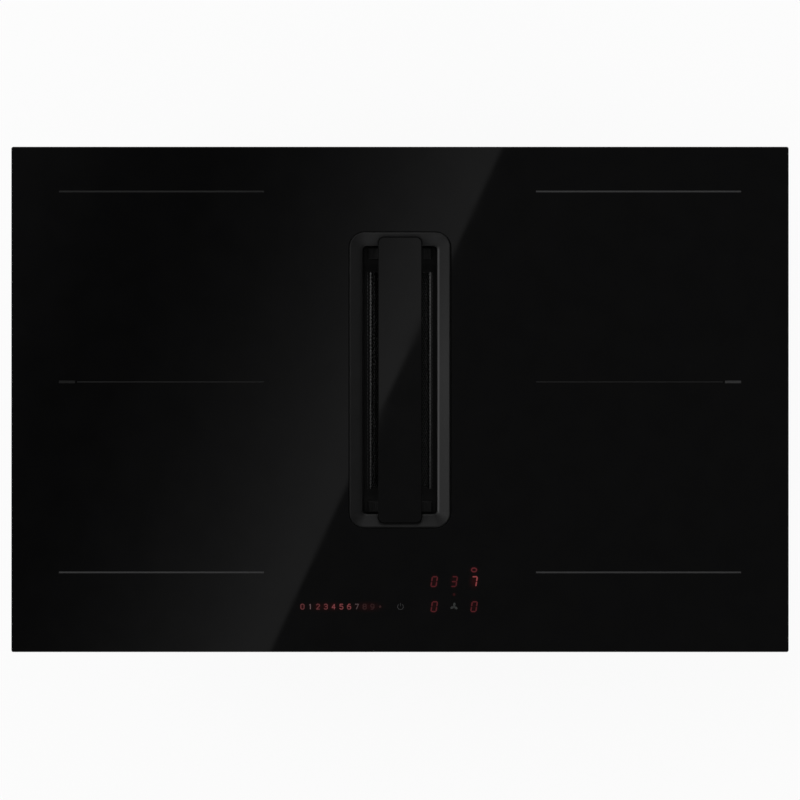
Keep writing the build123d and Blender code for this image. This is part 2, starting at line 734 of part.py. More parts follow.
def intake_duct():
    outer_w = DUCT_W + 2 * DUCT_WALL
    outer_l = DUCT_L + 2 * DUCT_WALL
    low = TRAY_Z - PLENUM_WALL - DUCT_BELOW_LID
    body = frame_plate(outer_w, outer_l, DUCT_WALL, low, RIM_Z, DUCT_R + DUCT_WALL, y=INTAKE_Y)
    flange_w = outer_w + 2 * DUCT_FLANGE_W
    flange_l = outer_l + 2 * DUCT_FLANGE_W
    bar = DUCT_FLANGE_W + DUCT_WALL
    flange_z = RIM_Z - DUCT_FLANGE_T
    body += frame_plate(flange_w, flange_l, bar, flange_z, RIM_Z, DUCT_R + bar, y=INTAKE_Y)
    ledge = plate(DUCT_W, DUCT_L, LEDGE_Z - LEDGE_T, LEDGE_Z, DUCT_R, y=INTAKE_Y)
    hole_w = FILTER_W - 2 * LEDGE_BEARING
    hole_l = FILTER_L - 2 * LEDGE_END_BEARING
    ledge -= plate(hole_w, hole_l, LEDGE_Z - LEDGE_T, LEDGE_Z, OPEN_R, y=INTAKE_Y)
    return body + ledge


# ---- cover strip
def cover_glass():
    body = plate(COVER_W, COVER_L, COVER_Z, COVER_Z + COVER_T, COVER_R, y=INTAKE_Y)
    return chamfer(body.faces().sort_by(Axis.Z)[-1].edges(), COVER_BEVEL)


def cover_carrier():
    width = COVER_W - 2 * CARRIER_INSET
    length = COVER_L - 2 * CARRIER_INSET
    low = COVER_Z - CARRIER_T
    body = plate(width, length, low, COVER_Z, COVER_R - CARRIER_INSET, y=INTAKE_Y)
    for side in (-1, 1):
        end = INTAKE_Y + side * (OPEN_L / 2 - FILTER_CLEAR)
        inner = end - side * CARRIER_RIB_T
        body += block(-CARRIER_RIB_W / 2, CARRIER_RIB_W / 2, *sorted((inner, end)), low - CARRIER_RIB_H, low)
    return body


def cover_pads():
    reach = (OPEN_L + COVER_L - 2 * CARRIER_INSET) / 4
    places = [(x, INTAKE_Y + side * reach) for x in spaced(2, PAD_SPREAD) for side in (-1, 1)]
    return group([rod(PAD_R, PAD_Z, PAD_Z + PAD_T, x, y) for x, y in places])


# ---- filter cassette
def mesh_place():
    """Top and bottom (x, z) of the right-hand mesh panel's middle surface."""
    top = (MESH_X - MESH_T, FRAME_Z)
    bottom = (CHANNEL_W / 2 - CHANNEL_WALL - MESH_T, FILTER_Z)
    return top, bottom


def filter_frame():
    body = plate(FILTER_W, FILTER_L, LEDGE_Z, FRAME_Z, OPEN_R, y=INTAKE_Y)
    body -= plate(2 * MESH_X, FILTER_L - 2 * FRAME_END, LEDGE_Z, FRAME_Z, y=INTAKE_Y)
    for side in (-1, 1):
        end = INTAKE_Y + side * FILTER_L / 2
        inner = end - side * END_BLOCK_L
        half_w = FILTER_W / 2 - END_BLOCK_INSET
        end_block = block(-half_w, half_w, *sorted((inner, end)), FRAME_Z, FRAME_Z + END_BLOCK_H)
        end_block = chamfer(end_block.faces().sort_by(Axis.Z)[-1].edges(), END_BLOCK_BEVEL)
        grip = block(-GRIP_W / 2, GRIP_W / 2, *sorted((inner, inner + side * GRIP_L)), FRAME_Z,
                     FRAME_Z + END_BLOCK_H)
        body += end_block - grip
        bead_x = side * (MESH_X + FRAME_BAR / 2 + FRAME_BEAD_W)
        body += block(bead_x - FRAME_BEAD_W / 2, bead_x + FRAME_BEAD_W / 2, INTAKE_Y - MESH_L / 2,
                      INTAKE_Y + MESH_L / 2, FRAME_Z, FRAME_Z + FRAME_BEAD_H)
        plate_y = INTAKE_Y + side * MESH_L / 2
        half_top = MESH_X
        half_low = CHANNEL_W / 2
        outline = [(-half_low, FILTER_Z), (half_low, FILTER_Z), (half_top, LEDGE_Z), (half_top, FRAME_Z),
                   (-half_top, FRAME_Z), (-half_top, LEDGE_Z)]
        body += along_y(outline, *sorted((plate_y, plate_y + side * END_PLATE_T)))
    return body


def filter_mesh(side):
    """One slanted mesh panel, with the hem that hangs it on the frame."""
    (xa, za), (xb, zb) = mesh_place()
    height = math.hypot(xa - xb, za - zb)
    columns = int((MESH_L - 2 * MESH_MARGIN) // MESH_PITCH)
    rows = int((height - 2 * MESH_MARGIN) // MESH_PITCH)
    sheet = Rectangle(height + 2 * MESH_T, MESH_L)
    holes = [Pos(u, v) * Circle(MESH_HOLE_R)
             for u in spaced(rows, MESH_PITCH) for v in spaced(columns, MESH_PITCH)]
    sheet -= holes
    panel = Pos(0, 0, -MESH_T / 2) * extrude(sheet, amount=MESH_T)
    tilt = -math.degrees(math.atan2(za - zb, xa - xb))
    panel = Pos((xa + xb) / 2, INTAKE_Y, (za + zb) / 2) * Rot(0, tilt, 0) * panel
    span = block(0, FILTER_W / 2, INTAKE_Y - MESH_L / 2, INTAKE_Y + MESH_L / 2, FILTER_Z, FRAME_Z)
    panel &= span
    hem = block(xa, xa + HEM_W, INTAKE_Y - MESH_L / 2, INTAKE_Y + MESH_L / 2, FRAME_Z,
                FRAME_Z + HEM_H)
    panel += hem
    return panel if side > 0 else mirror(panel, about=Plane.YZ)


def drip_channel():
    half_w = CHANNEL_W / 2
    half_l = MESH_L / 2 + END_PLATE_T
    y0 = INTAKE_Y - half_l
    y1 = INTAKE_Y + half_l
    low = FILTER_Z - CHANNEL_H
    body = block(-half_w, half_w, y0, y1, low, FILTER_Z)
    body -= block(-half_w + CHANNEL_WALL, half_w - CHANNEL_WALL, y0 + END_PLATE_T, y1 - END_PLATE_T,
                  low + CHANNEL_WALL, FILTER_Z - CHANNEL_WALL)
    slot = half_w - CHANNEL_LIP
    return body - block(-slot, slot, y0 + END_PLATE_T, y1 - END_PLATE_T, FILTER_Z - CHANNEL_WALL, FILTER_Z)


# ---- liquid container
def liquid_container():
    top = PLENUM_FLOOR + CONTAINER_H
    lip_z = top - CONTAINER_WALL
    body = plate(CONTAINER_W - 2 * CONTAINER_LIP, CONTAINER_L - 2 * CONTAINER_LIP, PLENUM_FLOOR, top,
                 CONTAINER_R - CONTAINER_LIP, y=INTAKE_Y)
    body = fillet(body.faces().sort_by(Axis.Z)[0].edges(), CONTAINER_WALL)
    body += plate(CONTAINER_W, CONTAINER_L, lip_z, top, CONTAINER_R, y=INTAKE_Y)
    inner = CONTAINER_LIP + CONTAINER_WALL
    body -= plate(CONTAINER_W - 2 * inner, CONTAINER_L - 2 * inner, PLENUM_FLOOR + CONTAINER_WALL, top,
                  CONTAINER_R - inner, y=INTAKE_Y)
    for side in (-1, 1):
        end = INTAKE_Y + side * (CONTAINER_L / 2 - CONTAINER_LIP)
        tab = sorted((end, end - side * CONTAINER_WALL))
        body += block(-CONTAINER_TAB_W / 2, CONTAINER_TAB_W / 2, *tab, lip_z, top + CONTAINER_TAB_H)
    return body


def container_guides():
    """Low ribs on the plenum floor that keep the container in its place."""
    foot_w = CONTAINER_W / 2 - CONTAINER_LIP + CONTAINER_CLEAR
    foot_l = CONTAINER_L / 2 - CONTAINER_LIP + CONTAINER_CLEAR
    ribs = []
    for side in (-1, 1):
        for y in spaced(2, CONTAINER_L / 2, INTAKE_Y):
            ends = sorted((side * foot_w, side * (foot_w + GUIDE_T)))
            ribs.append(block(*ends, y - GUIDE_L / 2, y + GUIDE_L / 2, PLENUM_FLOOR, PLENUM_FLOOR + GUIDE_H))
        ends = sorted((INTAKE_Y + side * foot_l, INTAKE_Y + side * (foot_l + GUIDE_T)))
        ribs.append(block(-GUIDE_L / 2, GUIDE_L / 2, *ends, PLENUM_FLOOR, PLENUM_FLOOR + GUIDE_H))
    return ribs


# ---- base tray
def lid_screw_places():
    x0 = PLENUM_X0 + LID_SCREW_INSET
    y0 = PLENUM_Y0 + LID_SCREW_INSET
    y1 = PLENUM_Y1 - LID_SCREW_INSET
    middle = (OPEN_W / 2 + DUCT_FLANGE_W + ZONE_X0) / 2
    far = FAN_X - FAN_CASE_W / 2 - 2 * SCREW_HEAD_R
    return [(x, y) for x in (x0, middle, far) for y in (y0, y1)]


def clamp_places():
    return {
        "rear_left": (-CLAMP_X, CLAMP_Y),
        "rear_right": (CLAMP_X, CLAMP_Y),
        "front_left": (-CLAMP_X, -CLAMP_Y),
        "front_right": (CLAMP_X, -CLAMP_Y),
    }


def board_corners(side):
    """Stand-off places of one power board."""
    inset = 2 * STAND_OFF_R
    return [(side * x, y) for x in (BOARD_X0 + inset, BOARD_X1 - inset)
            for y in (BOARD_Y0 + inset, BOARD_Y1 - inset)]


def fan_grille(side):
    """Slots in the tray's floor under one cooling fan."""
    slots = []
    for x in spaced(GRILLE_COUNT, GRILLE_PITCH, side * FAN_X):
        reach = math.sqrt(FAN_INLET_R ** 2 - (abs(x - side * FAN_X) + VENT_W / 2) ** 2)
        slots.append(block(x - VENT_W / 2, x + VENT_W / 2, FAN_Y - reach, FAN_Y + reach, TRAY_Z, FLOOR_Z))
    return slots


def tray_vents():
    """Air slots: louvres in the side walls, vents in the floor at the front and under the fans."""
    cuts = []
    z1 = SEAL_T - LOUVRE_DROP
    for side in (-1, 1):
        wall = sorted((side * (TRAY_W / 2 - 2 * TRAY_SHEET), side * (TRAY_W / 2 + TRAY_SHEET)))
        for y in spaced(LOUVRE_COUNT, LOUVRE_PITCH):
            cuts.append(block(*wall, y - LOUVRE_L / 2, y + LOUVRE_L / 2, z1 - LOUVRE_H, z1))
        y0 = VENT_INSET - TRAY_D / 2
        for x in spaced(VENT_COUNT, VENT_PITCH, side * ZONE_X):
            cuts.append(block(x - VENT_W / 2, x + VENT_W / 2, y0, y0 + VENT_L, TRAY_Z, FLOOR_Z))
        cuts += fan_grille(side)
    return cuts


def floor_beads(low, high):
    """Pressed beads that stiffen the tray's floor on its left, between two heights."""
    x = (-CLAMP_X + CLAMP_W + DRIVER_X0) / 2
    beads = []
    for y in spaced(BEAD_COUNT, BEAD_PITCH):
        bead = block(x - BEAD_L / 2, x + BEAD_L / 2, y - BEAD_W / 2, y + BEAD_W / 2, low, high)
        beads.append(chamfer(bead.faces().sort_by(Axis.Z)[0].edges(), BEAD_BEVEL))
    return beads


def base_tray():
    body = plate(TRAY_W, TRAY_D, TRAY_Z, SEAL_T, TRAY_R)
    body += floor_beads(TRAY_Z - BEAD_H, TRAY_Z)
    inner_w = TRAY_W - 2 * TRAY_SHEET
    inner_d = TRAY_D - 2 * TRAY_SHEET
    body -= plate(inner_w, inner_d, FLOOR_Z, SEAL_T, TRAY_R - TRAY_SHEET)
    body -= [Pos(0, 0, TRAY_SHEET) * bead for bead in floor_beads(TRAY_Z - BEAD_H, TRAY_Z)]
    body += frame_plate(inner_w, inner_d, TRAY_LIP, SEAL_T - TRAY_SHEET, SEAL_T, TRAY_R - TRAY_SHEET)
    hole = 2 * (DUCT_WALL + DUCT_HOLE_GAP)
    body -= plate(DUCT_W + hole, DUCT_L + hole, TRAY_Z, FLOOR_Z, DUCT_R + hole / 2, y=INTAKE_Y)
    body -= tray_vents()
    body -= screw_holes(lid_screw_places(), TRAY_Z, FLOOR_Z)
    body -= [rod(CLAMP_PIVOT_R, TRAY_Z, FLOOR_Z, x, y) for x, y in clamp_places().values()]
    studs = [rod(STAND_OFF_R, FLOOR_Z, BOARD_Z, x, y) for side in (-1, 1) for x, y in board_corners(side)]
    inset = TERMINAL_COVER_R + COVER_WALL
    body -= block(TERMINAL_X0 + inset, TERMINAL_X1 - inset, TERMINAL_Y0 + inset, TERMINAL_Y0 + 2 * inset,
                  TRAY_Z, FLOOR_Z)
    return body + studs


# ---- coils
def coil_support(side):
    """A folded sheet table that carries the coils over the electronics."""
    x0, x1 = sorted((side * SUPPORT_X0, side * SUPPORT_X1))
    top = SUPPORT_Z + SUPPORT_T
    body = block(x0, x1, SUPPORT_Y0, SUPPORT_Y1, SUPPORT_Z, top)
    for wall_x, foot in ((x0, -SUPPORT_FOOT), (x1 - SUPPORT_T, SUPPORT_FOOT + SUPPORT_T)):
        wall = block(wall_x, wall_x + SUPPORT_T, SUPPORT_Y0, SUPPORT_Y1, FLOOR_Z, SUPPORT_Z)
        for y in spaced(4, SUPPORT_ARCH_PITCH, (SUPPORT_Y0 + SUPPORT_Y1) / 2):
            wall -= block(wall_x, wall_x + SUPPORT_T, y - SUPPORT_ARCH_L / 2, y + SUPPORT_ARCH_L / 2,
                          SUPPORT_Z - SUPPORT_ARCH_H, SUPPORT_Z - SUPPORT_T)
        ends = sorted((wall_x, wall_x + foot))
        body += wall + block(*ends, SUPPORT_Y0, SUPPORT_Y1, FLOOR_Z, FLOOR_Z + SUPPORT_T)
    for name, (x, y) in COIL_PLACES.items():
        if x * side > 0:
            body -= rod(SENSOR_R, SUPPORT_Z, top, x, y)
    return body


def coil_insulation():
    sheets = []
    for side in (-1, 1):
        sheet = plate(ZONE_W, 2 * ZONE_L, INSULATION_Z, SEAL_T, TRAY_R, side * ZONE_X, ZONE_MIDDLE)
        for x, y in COIL_PLACES.values():
            if x * side > 0:
                sheet -= rod(INSULATION_HOLE_R, INSULATION_Z, SEAL_T, x, y)
        sheets.append(sheet)
    return group(sheets)


def spiral_arc(half_turn, x, y):
    """Centre and radius of one half turn of the winding: rounds alternate about two centres."""
    sign = 1 if half_turn % 2 else -1
    return (x + sign * WIRE_PITCH / 4, y), COIL_INNER_R + WIRE_W / 2 + half_turn * WIRE_PITCH / 2


def spiral_side(x, y, grow):
    """The half circles of the winding's inner or outer side."""
    arcs = []
    for half_turn in range(2 * COIL_TURNS):
        centre, radius = spiral_arc(half_turn, x, y)
        start = 180 * (half_turn % 2)
        ends = [polar(centre, radius + grow, start + step) for step in (0, 90, 180)]
        arcs.append(ThreePointArc(*ends))
    return arcs


def winding(x, y):
    """A flat spiral of litz wire, one unbroken band."""
    inner = spiral_side(x, y, -WIRE_W / 2)
    outer = spiral_side(x, y, WIRE_W / 2)
    first = Line(inner[0] @ 0, outer[0] @ 0)
    last = Line(inner[-1] @ 1, outer[-1] @ 1)
    return rise(make_face(inner + outer + [first, last]), WIRE_Z, INSULATION_Z)


def winding_gap():
    """The least gap between one turn of the winding and the next, measured on points."""
    points = []
    for half_turn in range(2 * COIL_TURNS):
        centre, radius = spiral_arc(half_turn, 0, 0)
        points += [polar(centre, radius, 180 * (half_turn % 2) + 7.5 * i) for i in range(24)]
    gaps = []
    for i, point in enumerate(points):
        gaps += [math.dist(point, other) for other in points[i + 40:i + 57]]
    return min(gaps) - WIRE_W


def coil_formers():
    formers = []
    for x, y in COIL_PLACES.values():
        former = tube(COIL_R + FORMER_MARGIN, COIL_INNER_R - FORMER_MARGIN, FORMER_Z, WIRE_Z, x, y)
        for turn in range(FERRITE_COUNT):
            reach = (COIL_INNER_R + COIL_R) / 2
            slot = Box((COIL_R - COIL_INNER_R) * FORMER_SLOT_SHARE, FORMER_SLOT_W, FORMER_T)
            angle = (turn + 0.5) * 360 / FERRITE_COUNT
            former -= Pos(x, y, FORMER_Z + FORMER_T / 2) * Rot(0, 0, angle) * Pos(reach, 0, 0) * slot
        formers.append(former)
    return group(formers)


def coil_ferrites():
    bars = []
    for x, y in COIL_PLACES.values():
        for turn in range(FERRITE_COUNT):
            bar = Pos((COIL_INNER_R + COIL_R) / 2, 0, 0) * Box(FERRITE_L, FERRITE_W, FERRITE_T)
            angle = turn * 360 / FERRITE_COUNT
            bars.append(Pos(x, y, FERRITE_Z + FERRITE_T / 2) * Rot(0, 0, angle) * bar)
    return group(bars)


def coil_sensors():
    sensors = []
    for x, y in COIL_PLACES.values():
        base = rod(SENSOR_BASE_R, FERRITE_Z, FERRITE_Z + SENSOR_BASE_T, x, y)
        sensors.append(base + rod(SENSOR_R, SUPPORT_Z, SEAL_T, x, y))
    return group(sensors)


# ---- electronics in the tray
def power_board(side):
    x0, x1 = sorted((side * BOARD_X0, side * BOARD_X1))
    return block(x0, x1, BOARD_Y0, BOARD_Y1, BOARD_Z, BOARD_TOP)


def heat_sink(side):
    x = side * FAN_X
    y0 = SINK_Y1 - SINK_L
    body = block(x - SINK_W / 2, x + SINK_W / 2, y0, SINK_Y1, BOARD_TOP, BOARD_TOP + SINK_BASE_T)
    pitch = (SINK_W - SINK_FIN_T) / (SINK_FINS - 1)
    fins = [block(fx - SINK_FIN_T / 2, fx + SINK_FIN_T / 2, y0, SINK_Y1, BOARD_TOP + SINK_BASE_T,
                  BOARD_TOP + SINK_H) for fx in spaced(SINK_FINS, pitch, x)]
    return body + fins


def board_parts(side):
    """Chokes, capacitors and relays beside one heat sink."""
    pieces = []
    near = BOARD_X0 + PARTS_INSET
    for y in spaced(2, CHOKE_PITCH, BOARD_Y1 - PARTS_INSET - CHOKE_PITCH):
        pieces.append(tube(CHOKE_R, CHOKE_BORE_R, BOARD_TOP, BOARD_TOP + CHOKE_H, side * (near + CHOKE_R), y))
    for y in spaced(3, FILM_PITCH, (BOARD_Y0 + BOARD_Y1) / 2 - FILM_PITCH):
        x0, x1 = sorted((side * near, side * (near + FILM_W)))
        pieces.append(block(x0, x1, y - FILM_D / 2, y + FILM_D / 2, BOARD_TOP, BOARD_TOP + FILM_H))
    column = near + FILM_W + PARTS_INSET + RELAY_W / 2
    for y in spaced(RELAY_COUNT, RELAY_PITCH, BOARD_Y0 + PARTS_INSET + RELAY_COUNT * RELAY_PITCH / 2):
        x0, x1 = sorted((side * (column - RELAY_W / 2), side * (column + RELAY_W / 2)))
        pieces.append(block(x0, x1, y - RELAY_D / 2, y + RELAY_D / 2, BOARD_TOP, BOARD_TOP + RELAY_H))
    for y in spaced(CAN_COUNT, CAN_PITCH, BOARD_Y1 - PARTS_INSET - CAN_COUNT * CAN_PITCH / 2):
        pieces.append(rod(CAN_R, BOARD_TOP, BOARD_TOP + CAN_H, side * column, y))
    return pieces


def terminal_block():
    x = (TERMINAL_X0 + TERMINAL_X1) / 2
    y = (TERMINAL_Y0 + TERMINAL_Y1) / 2
    z0 = TERMINAL_Z + COVER_WALL
    body = block(x - TERMINAL_W / 2, x + TERMINAL_W / 2, y - TERMINAL_D / 2, y + TERMINAL_D / 2, z0,
                 z0 + TERMINAL_H)
    return body - [rod(SCREW_R, z0 + SCREW_HEAD_H, z0 + TERMINAL_H, hole, y)
                   for hole in spaced(5, TERMINAL_W / 5, x)]


def electrical_parts():
    return group(board_parts(-1) + board_parts(1) + [terminal_block()])


def fan_case(side):
    x = side * FAN_X
    room_z0 = FLOOR_Z + FAN_CASE_WALL
    room_z1 = FAN_CASE_Z1 - FAN_CASE_WALL
    scroll_r = FAN_WHEEL_R + FAN_SCROLL_GAP
    body = plate(FAN_CASE_W, FAN_CASE_W, FLOOR_Z, FAN_CASE_Z1, FAN_CASE_R, x, FAN_Y)
    body -= rod(scroll_r, room_z0, room_z1, x, FAN_Y)
    body -= block(x, x + scroll_r, FAN_Y - FAN_CASE_W / 2, FAN_Y, room_z0, room_z1)
    body -= rod(FAN_INLET_R, FLOOR_Z, room_z0, x, FAN_Y)
    body += rod(FAN_HUB_R - FAN_CASE_WALL, room_z1 - FAN_END_GAP, room_z1, x, FAN_Y)
    return body + rod(FAN_PIN_R, room_z0 + FAN_END_GAP, room_z1, x, FAN_Y)


def fan_rotor(side):
    """A small radial wheel that turns on the fan case's pin."""
    x = side * FAN_X
    low = FLOOR_Z + FAN_CASE_WALL + FAN_END_GAP
    high = FAN_CASE_Z1 - FAN_CASE_WALL - 2 * FAN_END_GAP
    ring = FAN_WHEEL_R - FAN_BLADE_L
    body = rod(FAN_HUB_R, low, high, x, FAN_Y)
    body += rod(FAN_WHEEL_R, high - SHROUD_T, high, x, FAN_Y)
    body += tube(FAN_WHEEL_R, ring, low, low + SHROUD_T, x, FAN_Y)
    blade = Box(FAN_BLADE_L * 1.1, FAN_BLADE_T, high - low)
    lean = Pos(ring + FAN_BLADE_L / 2, 0, (low + high) / 2) * Rot(0, 0, FAN_BLADE_TILT) * blade
    blades = [Pos(x, FAN_Y, 0) * Rot(0, 0, i * 360 / FAN_BLADES) * lean for i in range(FAN_BLADES)]
    body += blades
    body &= rod(FAN_WHEEL_R, low, high, x, FAN_Y)
    return body - rod(FAN_PIN_R + FAN_RUN_CLEAR, low, high, x, FAN_Y)


# ---- control board
def control_board():
    return block(CONTROL_X0, CONTROL_X1, CONTROL_Y0, CONTROL_Y1, CONTROL_Z, CONTROL_TOP)


def display_modules():
    modules = []
    for column in range(3):
        x = FIGURE_X + column * FIGURE_PITCH
        for y in (FIGURE_ROW, UPPER_ROW):
            modules.append(plate(MODULE_W, MODULE_D, CONTROL_TOP, SEAL_T, x=x, y=y))
    x0 = SLIDER_X - SLIDER_PITCH
    x1 = SLIDER_X + 11 * SLIDER_PITCH
    half = SLIDER_MODULE_D / 2
    modules.append(block(x0, x1, FIGURE_ROW - half, FIGURE_ROW + half, CONTROL_TOP, SEAL_T))
    return group(modules)


def touch_pads():
    """Sprung touch contacts: one under the power key, the rest behind the slider."""
    places = [(POWER_KEY_X, FIGURE_ROW)]
    places += [(x, UPPER_ROW) for x in spaced(4, 3 * SLIDER_PITCH, SLIDER_X + 5 * SLIDER_PITCH)]
    pads = []
    for x, y in places:
        foot = rod(TOUCH_R, CONTROL_TOP, CONTROL_TOP + BOARD_T, x, y)
        stem = rod(TOUCH_R / 2, CONTROL_TOP + BOARD_T, SEAL_T - BOARD_T, x, y)
        pads.append(foot + stem + rod(TOUCH_R, SEAL_T - BOARD_T, SEAL_T, x, y))
    return group(pads)


def control_bracket():
    body = block(CONTROL_X0, CONTROL_X1, CONTROL_Y0, CONTROL_Y1, CONTROL_Z - BRACKET_T, CONTROL_Z)
    for x, foot in ((CONTROL_X0, BRACKET_FOOT), (CONTROL_X1, -BRACKET_FOOT)):
        wall = sorted((x, x + math.copysign(BRACKET_T, foot)))
        body += block(*wall, CONTROL_Y0, CONTROL_Y1, FLOOR_Z, CONTROL_Z)
        body += block(*sorted((x, x + foot)), CONTROL_Y0, CONTROL_Y1, FLOOR_Z, FLOOR_Z + BRACKET_T)
    return body


# ---- terminal cover and gland
def gland_place():
    return (TERMINAL_X0 + TERMINAL_X1) / 2, (TERMINAL_Z + TRAY_Z) / 2


def along_axis_y(radius, y0, y1, x, z):
    """A cylinder along Y."""
    return Pos(x, (y0 + y1) / 2, z) * Rot(90, 0, 0) * Cylinder(radius, y1 - y0)


def terminal_cover():
    x = (TERMINAL_X0 + TERMINAL_X1) / 2
    y = (TERMINAL_Y0 + TERMINAL_Y1) / 2
    body = plate(TERMINAL_COVER_W, TERMINAL_COVER_D, TERMINAL_Z, TRAY_Z, TERMINAL_COVER_R, x, y)
    body = fillet(body.faces().sort_by(Axis.Z)[0].edges(), COVER_WALL)
    body -= plate(TERMINAL_COVER_W - 2 * COVER_WALL, TERMINAL_COVER_D - 2 * COVER_WALL,
                  TERMINAL_Z + COVER_WALL, TRAY_Z, TERMINAL_COVER_R - COVER_WALL, x, y)
    gland_x, gland_z = gland_place()
    return body - along_axis_y(GLAND_R, TERMINAL_Y1 - COVER_WALL, TERMINAL_Y1, gland_x, gland_z)


def hexagon_nut(y0, y1, x, z):
    """A hexagon nut along Y."""
    face = Plane(origin=(x, y0, z), x_dir=(1, 0, 0), z_dir=(0, 1, 0)) * RegularPolygon(GLAND_NUT_R, 6)
    return extrude(face, amount=y1 - y0, dir=(0, 1, 0))


def cable_gland():
    x, z = gland_place()
    inner = TERMINAL_Y1 - COVER_WALL
    end = TERMINAL_Y1 + GLAND_NUT_T
    body = along_axis_y(GLAND_R, inner, TERMINAL_Y1, x, z)
    body += hexagon_nut(inner - GLAND_NUT_T, inner, x, z)
    body += hexagon_nut(TERMINAL_Y1, end, x, z)
    nose = along_axis_y(GLAND_R, end, end + GLAND_NOSE, x, z)
    nose = fillet(nose.faces().sort_by(Axis.Y)[-1].edges(), COVER_WALL / 2)
    body += nose
    return body - along_axis_y(GLAND_BORE_R, inner - GLAND_NUT_T, end + GLAND_NOSE, x, z)


# ---- plenum
def plenum_slab(shrink, z0, z1):
    """The plenum's outline in plan, drawn between two heights."""
    return plate(PLENUM_W - 2 * shrink, PLENUM_D - 2 * shrink, z0, z1, PLENUM_R - shrink, PLENUM_X, PLENUM_Y)


def lip_screw_places():
    middle = LIP_W / 2
    places = [(x, y) for x in (PLENUM_X0 - middle, PLENUM_X1 + middle)
              for y in spaced(3, 2 * RIB_PITCH, PLENUM_Y)]
    places += [(x, PLENUM_Y0 - middle) for x in spaced(3, 3 * RIB_PITCH, PLENUM_X)]
    free = OUTLET_X - OUTLET_W / 2 - PLENUM_X0
    places += [(PLENUM_X0 + free * share, PLENUM_Y1 + middle) for share in (0.3, 0.75)]
    return places


def side_ribs(z0, z1):
    """Upright ribs outside the plenum's walls."""
    ribs = []
    for y in spaced(6, RIB_PITCH, PLENUM_Y):
        for side, wall in ((-1, PLENUM_X0), (1, PLENUM_X1)):
            ribs.append(block(*sorted((wall, wall + side * RIB_D)), y - RIB_T / 2, y + RIB_T / 2, z0, z1))
    for x in spaced(6, RIB_PITCH, PLENUM_X):
        ribs.append(block(x - RIB_T / 2, x + RIB_T / 2, PLENUM_Y0 - RIB_D, PLENUM_Y0, z0, z1))
    return ribs


def outlet_hole():
    """The way through the plenum's back wall for the outlet duct."""
    width = OUTLET_W + 2 * OUTLET_GAP
    height = OUTLET_H + 2 * OUTLET_GAP
    y0 = PLENUM_Y1 - 2 * PLENUM_WALL
    y1 = PLENUM_Y1 + 2 * LIP_W
    return outlet_section(width, height, OUTLET_R + OUTLET_GAP, y0, y1)


def outlet_section(width, height, radius, y0, y1):
    """A rounded box along Y on the outlet's axis."""
    plane = Plane(origin=(OUTLET_X, y0, BLOWER_Z), x_dir=(1, 0, 0), z_dir=(0, 1, 0))
    return extrude(plane * RectangleRounded(width, height, radius), amount=y1 - y0, dir=(0, 1, 0))


def lip(z0, z1):
    """The flange round the plenum where its halves meet."""
    return plenum_slab(-LIP_W, z0, z1) - plenum_slab(PLENUM_WALL, z0, z1)


def plenum_lid():
    body = plenum_slab(0, SPLIT_Z, TRAY_Z) - plenum_slab(PLENUM_WALL, SPLIT_Z, TRAY_Z - PLENUM_WALL)
    body += lip(SPLIT_Z, SPLIT_Z + LIP_T)
    body += side_ribs(SPLIT_Z + LIP_T, TRAY_Z - PLENUM_EDGE_R)
    body -= outlet_hole()
    hole = 2 * (DUCT_WALL + DUCT_HOLE_GAP)
    body -= plate(DUCT_W + hole, DUCT_L + hole, TRAY_Z - PLENUM_WALL, TRAY_Z, DUCT_R + hole / 2, y=INTAKE_Y)
    body -= screw_holes(lid_screw_places(), TRAY_Z - PLENUM_WALL, TRAY_Z)
    return body - screw_holes(lip_screw_places(), SPLIT_Z, SPLIT_Z + LIP_T)


def post_places():
    """Where posts on the plenum's floor carry the blower."""
    reach = (INLET_R + VOLUTE_R) / 2 + SPIDER_RING_W / 2
    return [polar((BLOWER_X, BLOWER_Y), reach, 45 + 90 * i) for i in range(4)]


def plenum_tub():
    body = plenum_slab(0, PLENUM_Z, SPLIT_Z)
    body = fillet(body.faces().sort_by(Axis.Z)[0].edges(), PLENUM_EDGE_R)
    room = plenum_slab(PLENUM_WALL, PLENUM_FLOOR, SPLIT_Z)
    body -= fillet(room.faces().sort_by(Axis.Z)[0].edges(), PLENUM_EDGE_R - PLENUM_WALL)
    body += lip(SPLIT_Z - LIP_T, SPLIT_Z)
    body += side_ribs(PLENUM_Z + 2 * PLENUM_EDGE_R, SPLIT_Z - LIP_T)
    body -= outlet_hole()
    body -= screw_holes(lip_screw_places(), SPLIT_Z - LIP_T, SPLIT_Z)
    posts = [rod(POST_R, PLENUM_FLOOR, SCROLL_Z0, x, y) for x, y in post_places()]
    return body + posts + container_guides()


# ---- blower
def volute(grow):
    """The scroll's outline in plan: three arcs that open out, then the throat."""
    low = -VOLUTE_STEP / 2
    high = VOLUTE_STEP / 2
    centres = [(BLOWER_X + low, BLOWER_Y + low), (BLOWER_X + high, BLOWER_Y + low),
               (BLOWER_X + high, BLOWER_Y + high)]
    radii = [VOLUTE_R + i * VOLUTE_STEP + grow for i in range(3)]
    left = THROAT_X0 - grow
    nose = math.degrees(math.acos((left - centres[0][0]) / radii[0]))
    spans = [(nose, 180), (180, 270), (270, 360)]
    edges = []
    for centre, radius, (start, end) in zip(centres, radii, spans):
        points = [polar(centre, radius, angle) for angle in (start, (start + end) / 2, end)]
        edges.append(ThreePointArc(*points))
    right = THROAT_X1 + grow
    edges.append(Polyline(polar(centres[2], radii[2], 0), (right, THROAT_Y), (left, THROAT_Y),
                          polar(centres[0], radii[0], nose)))
    return make_face(edges)


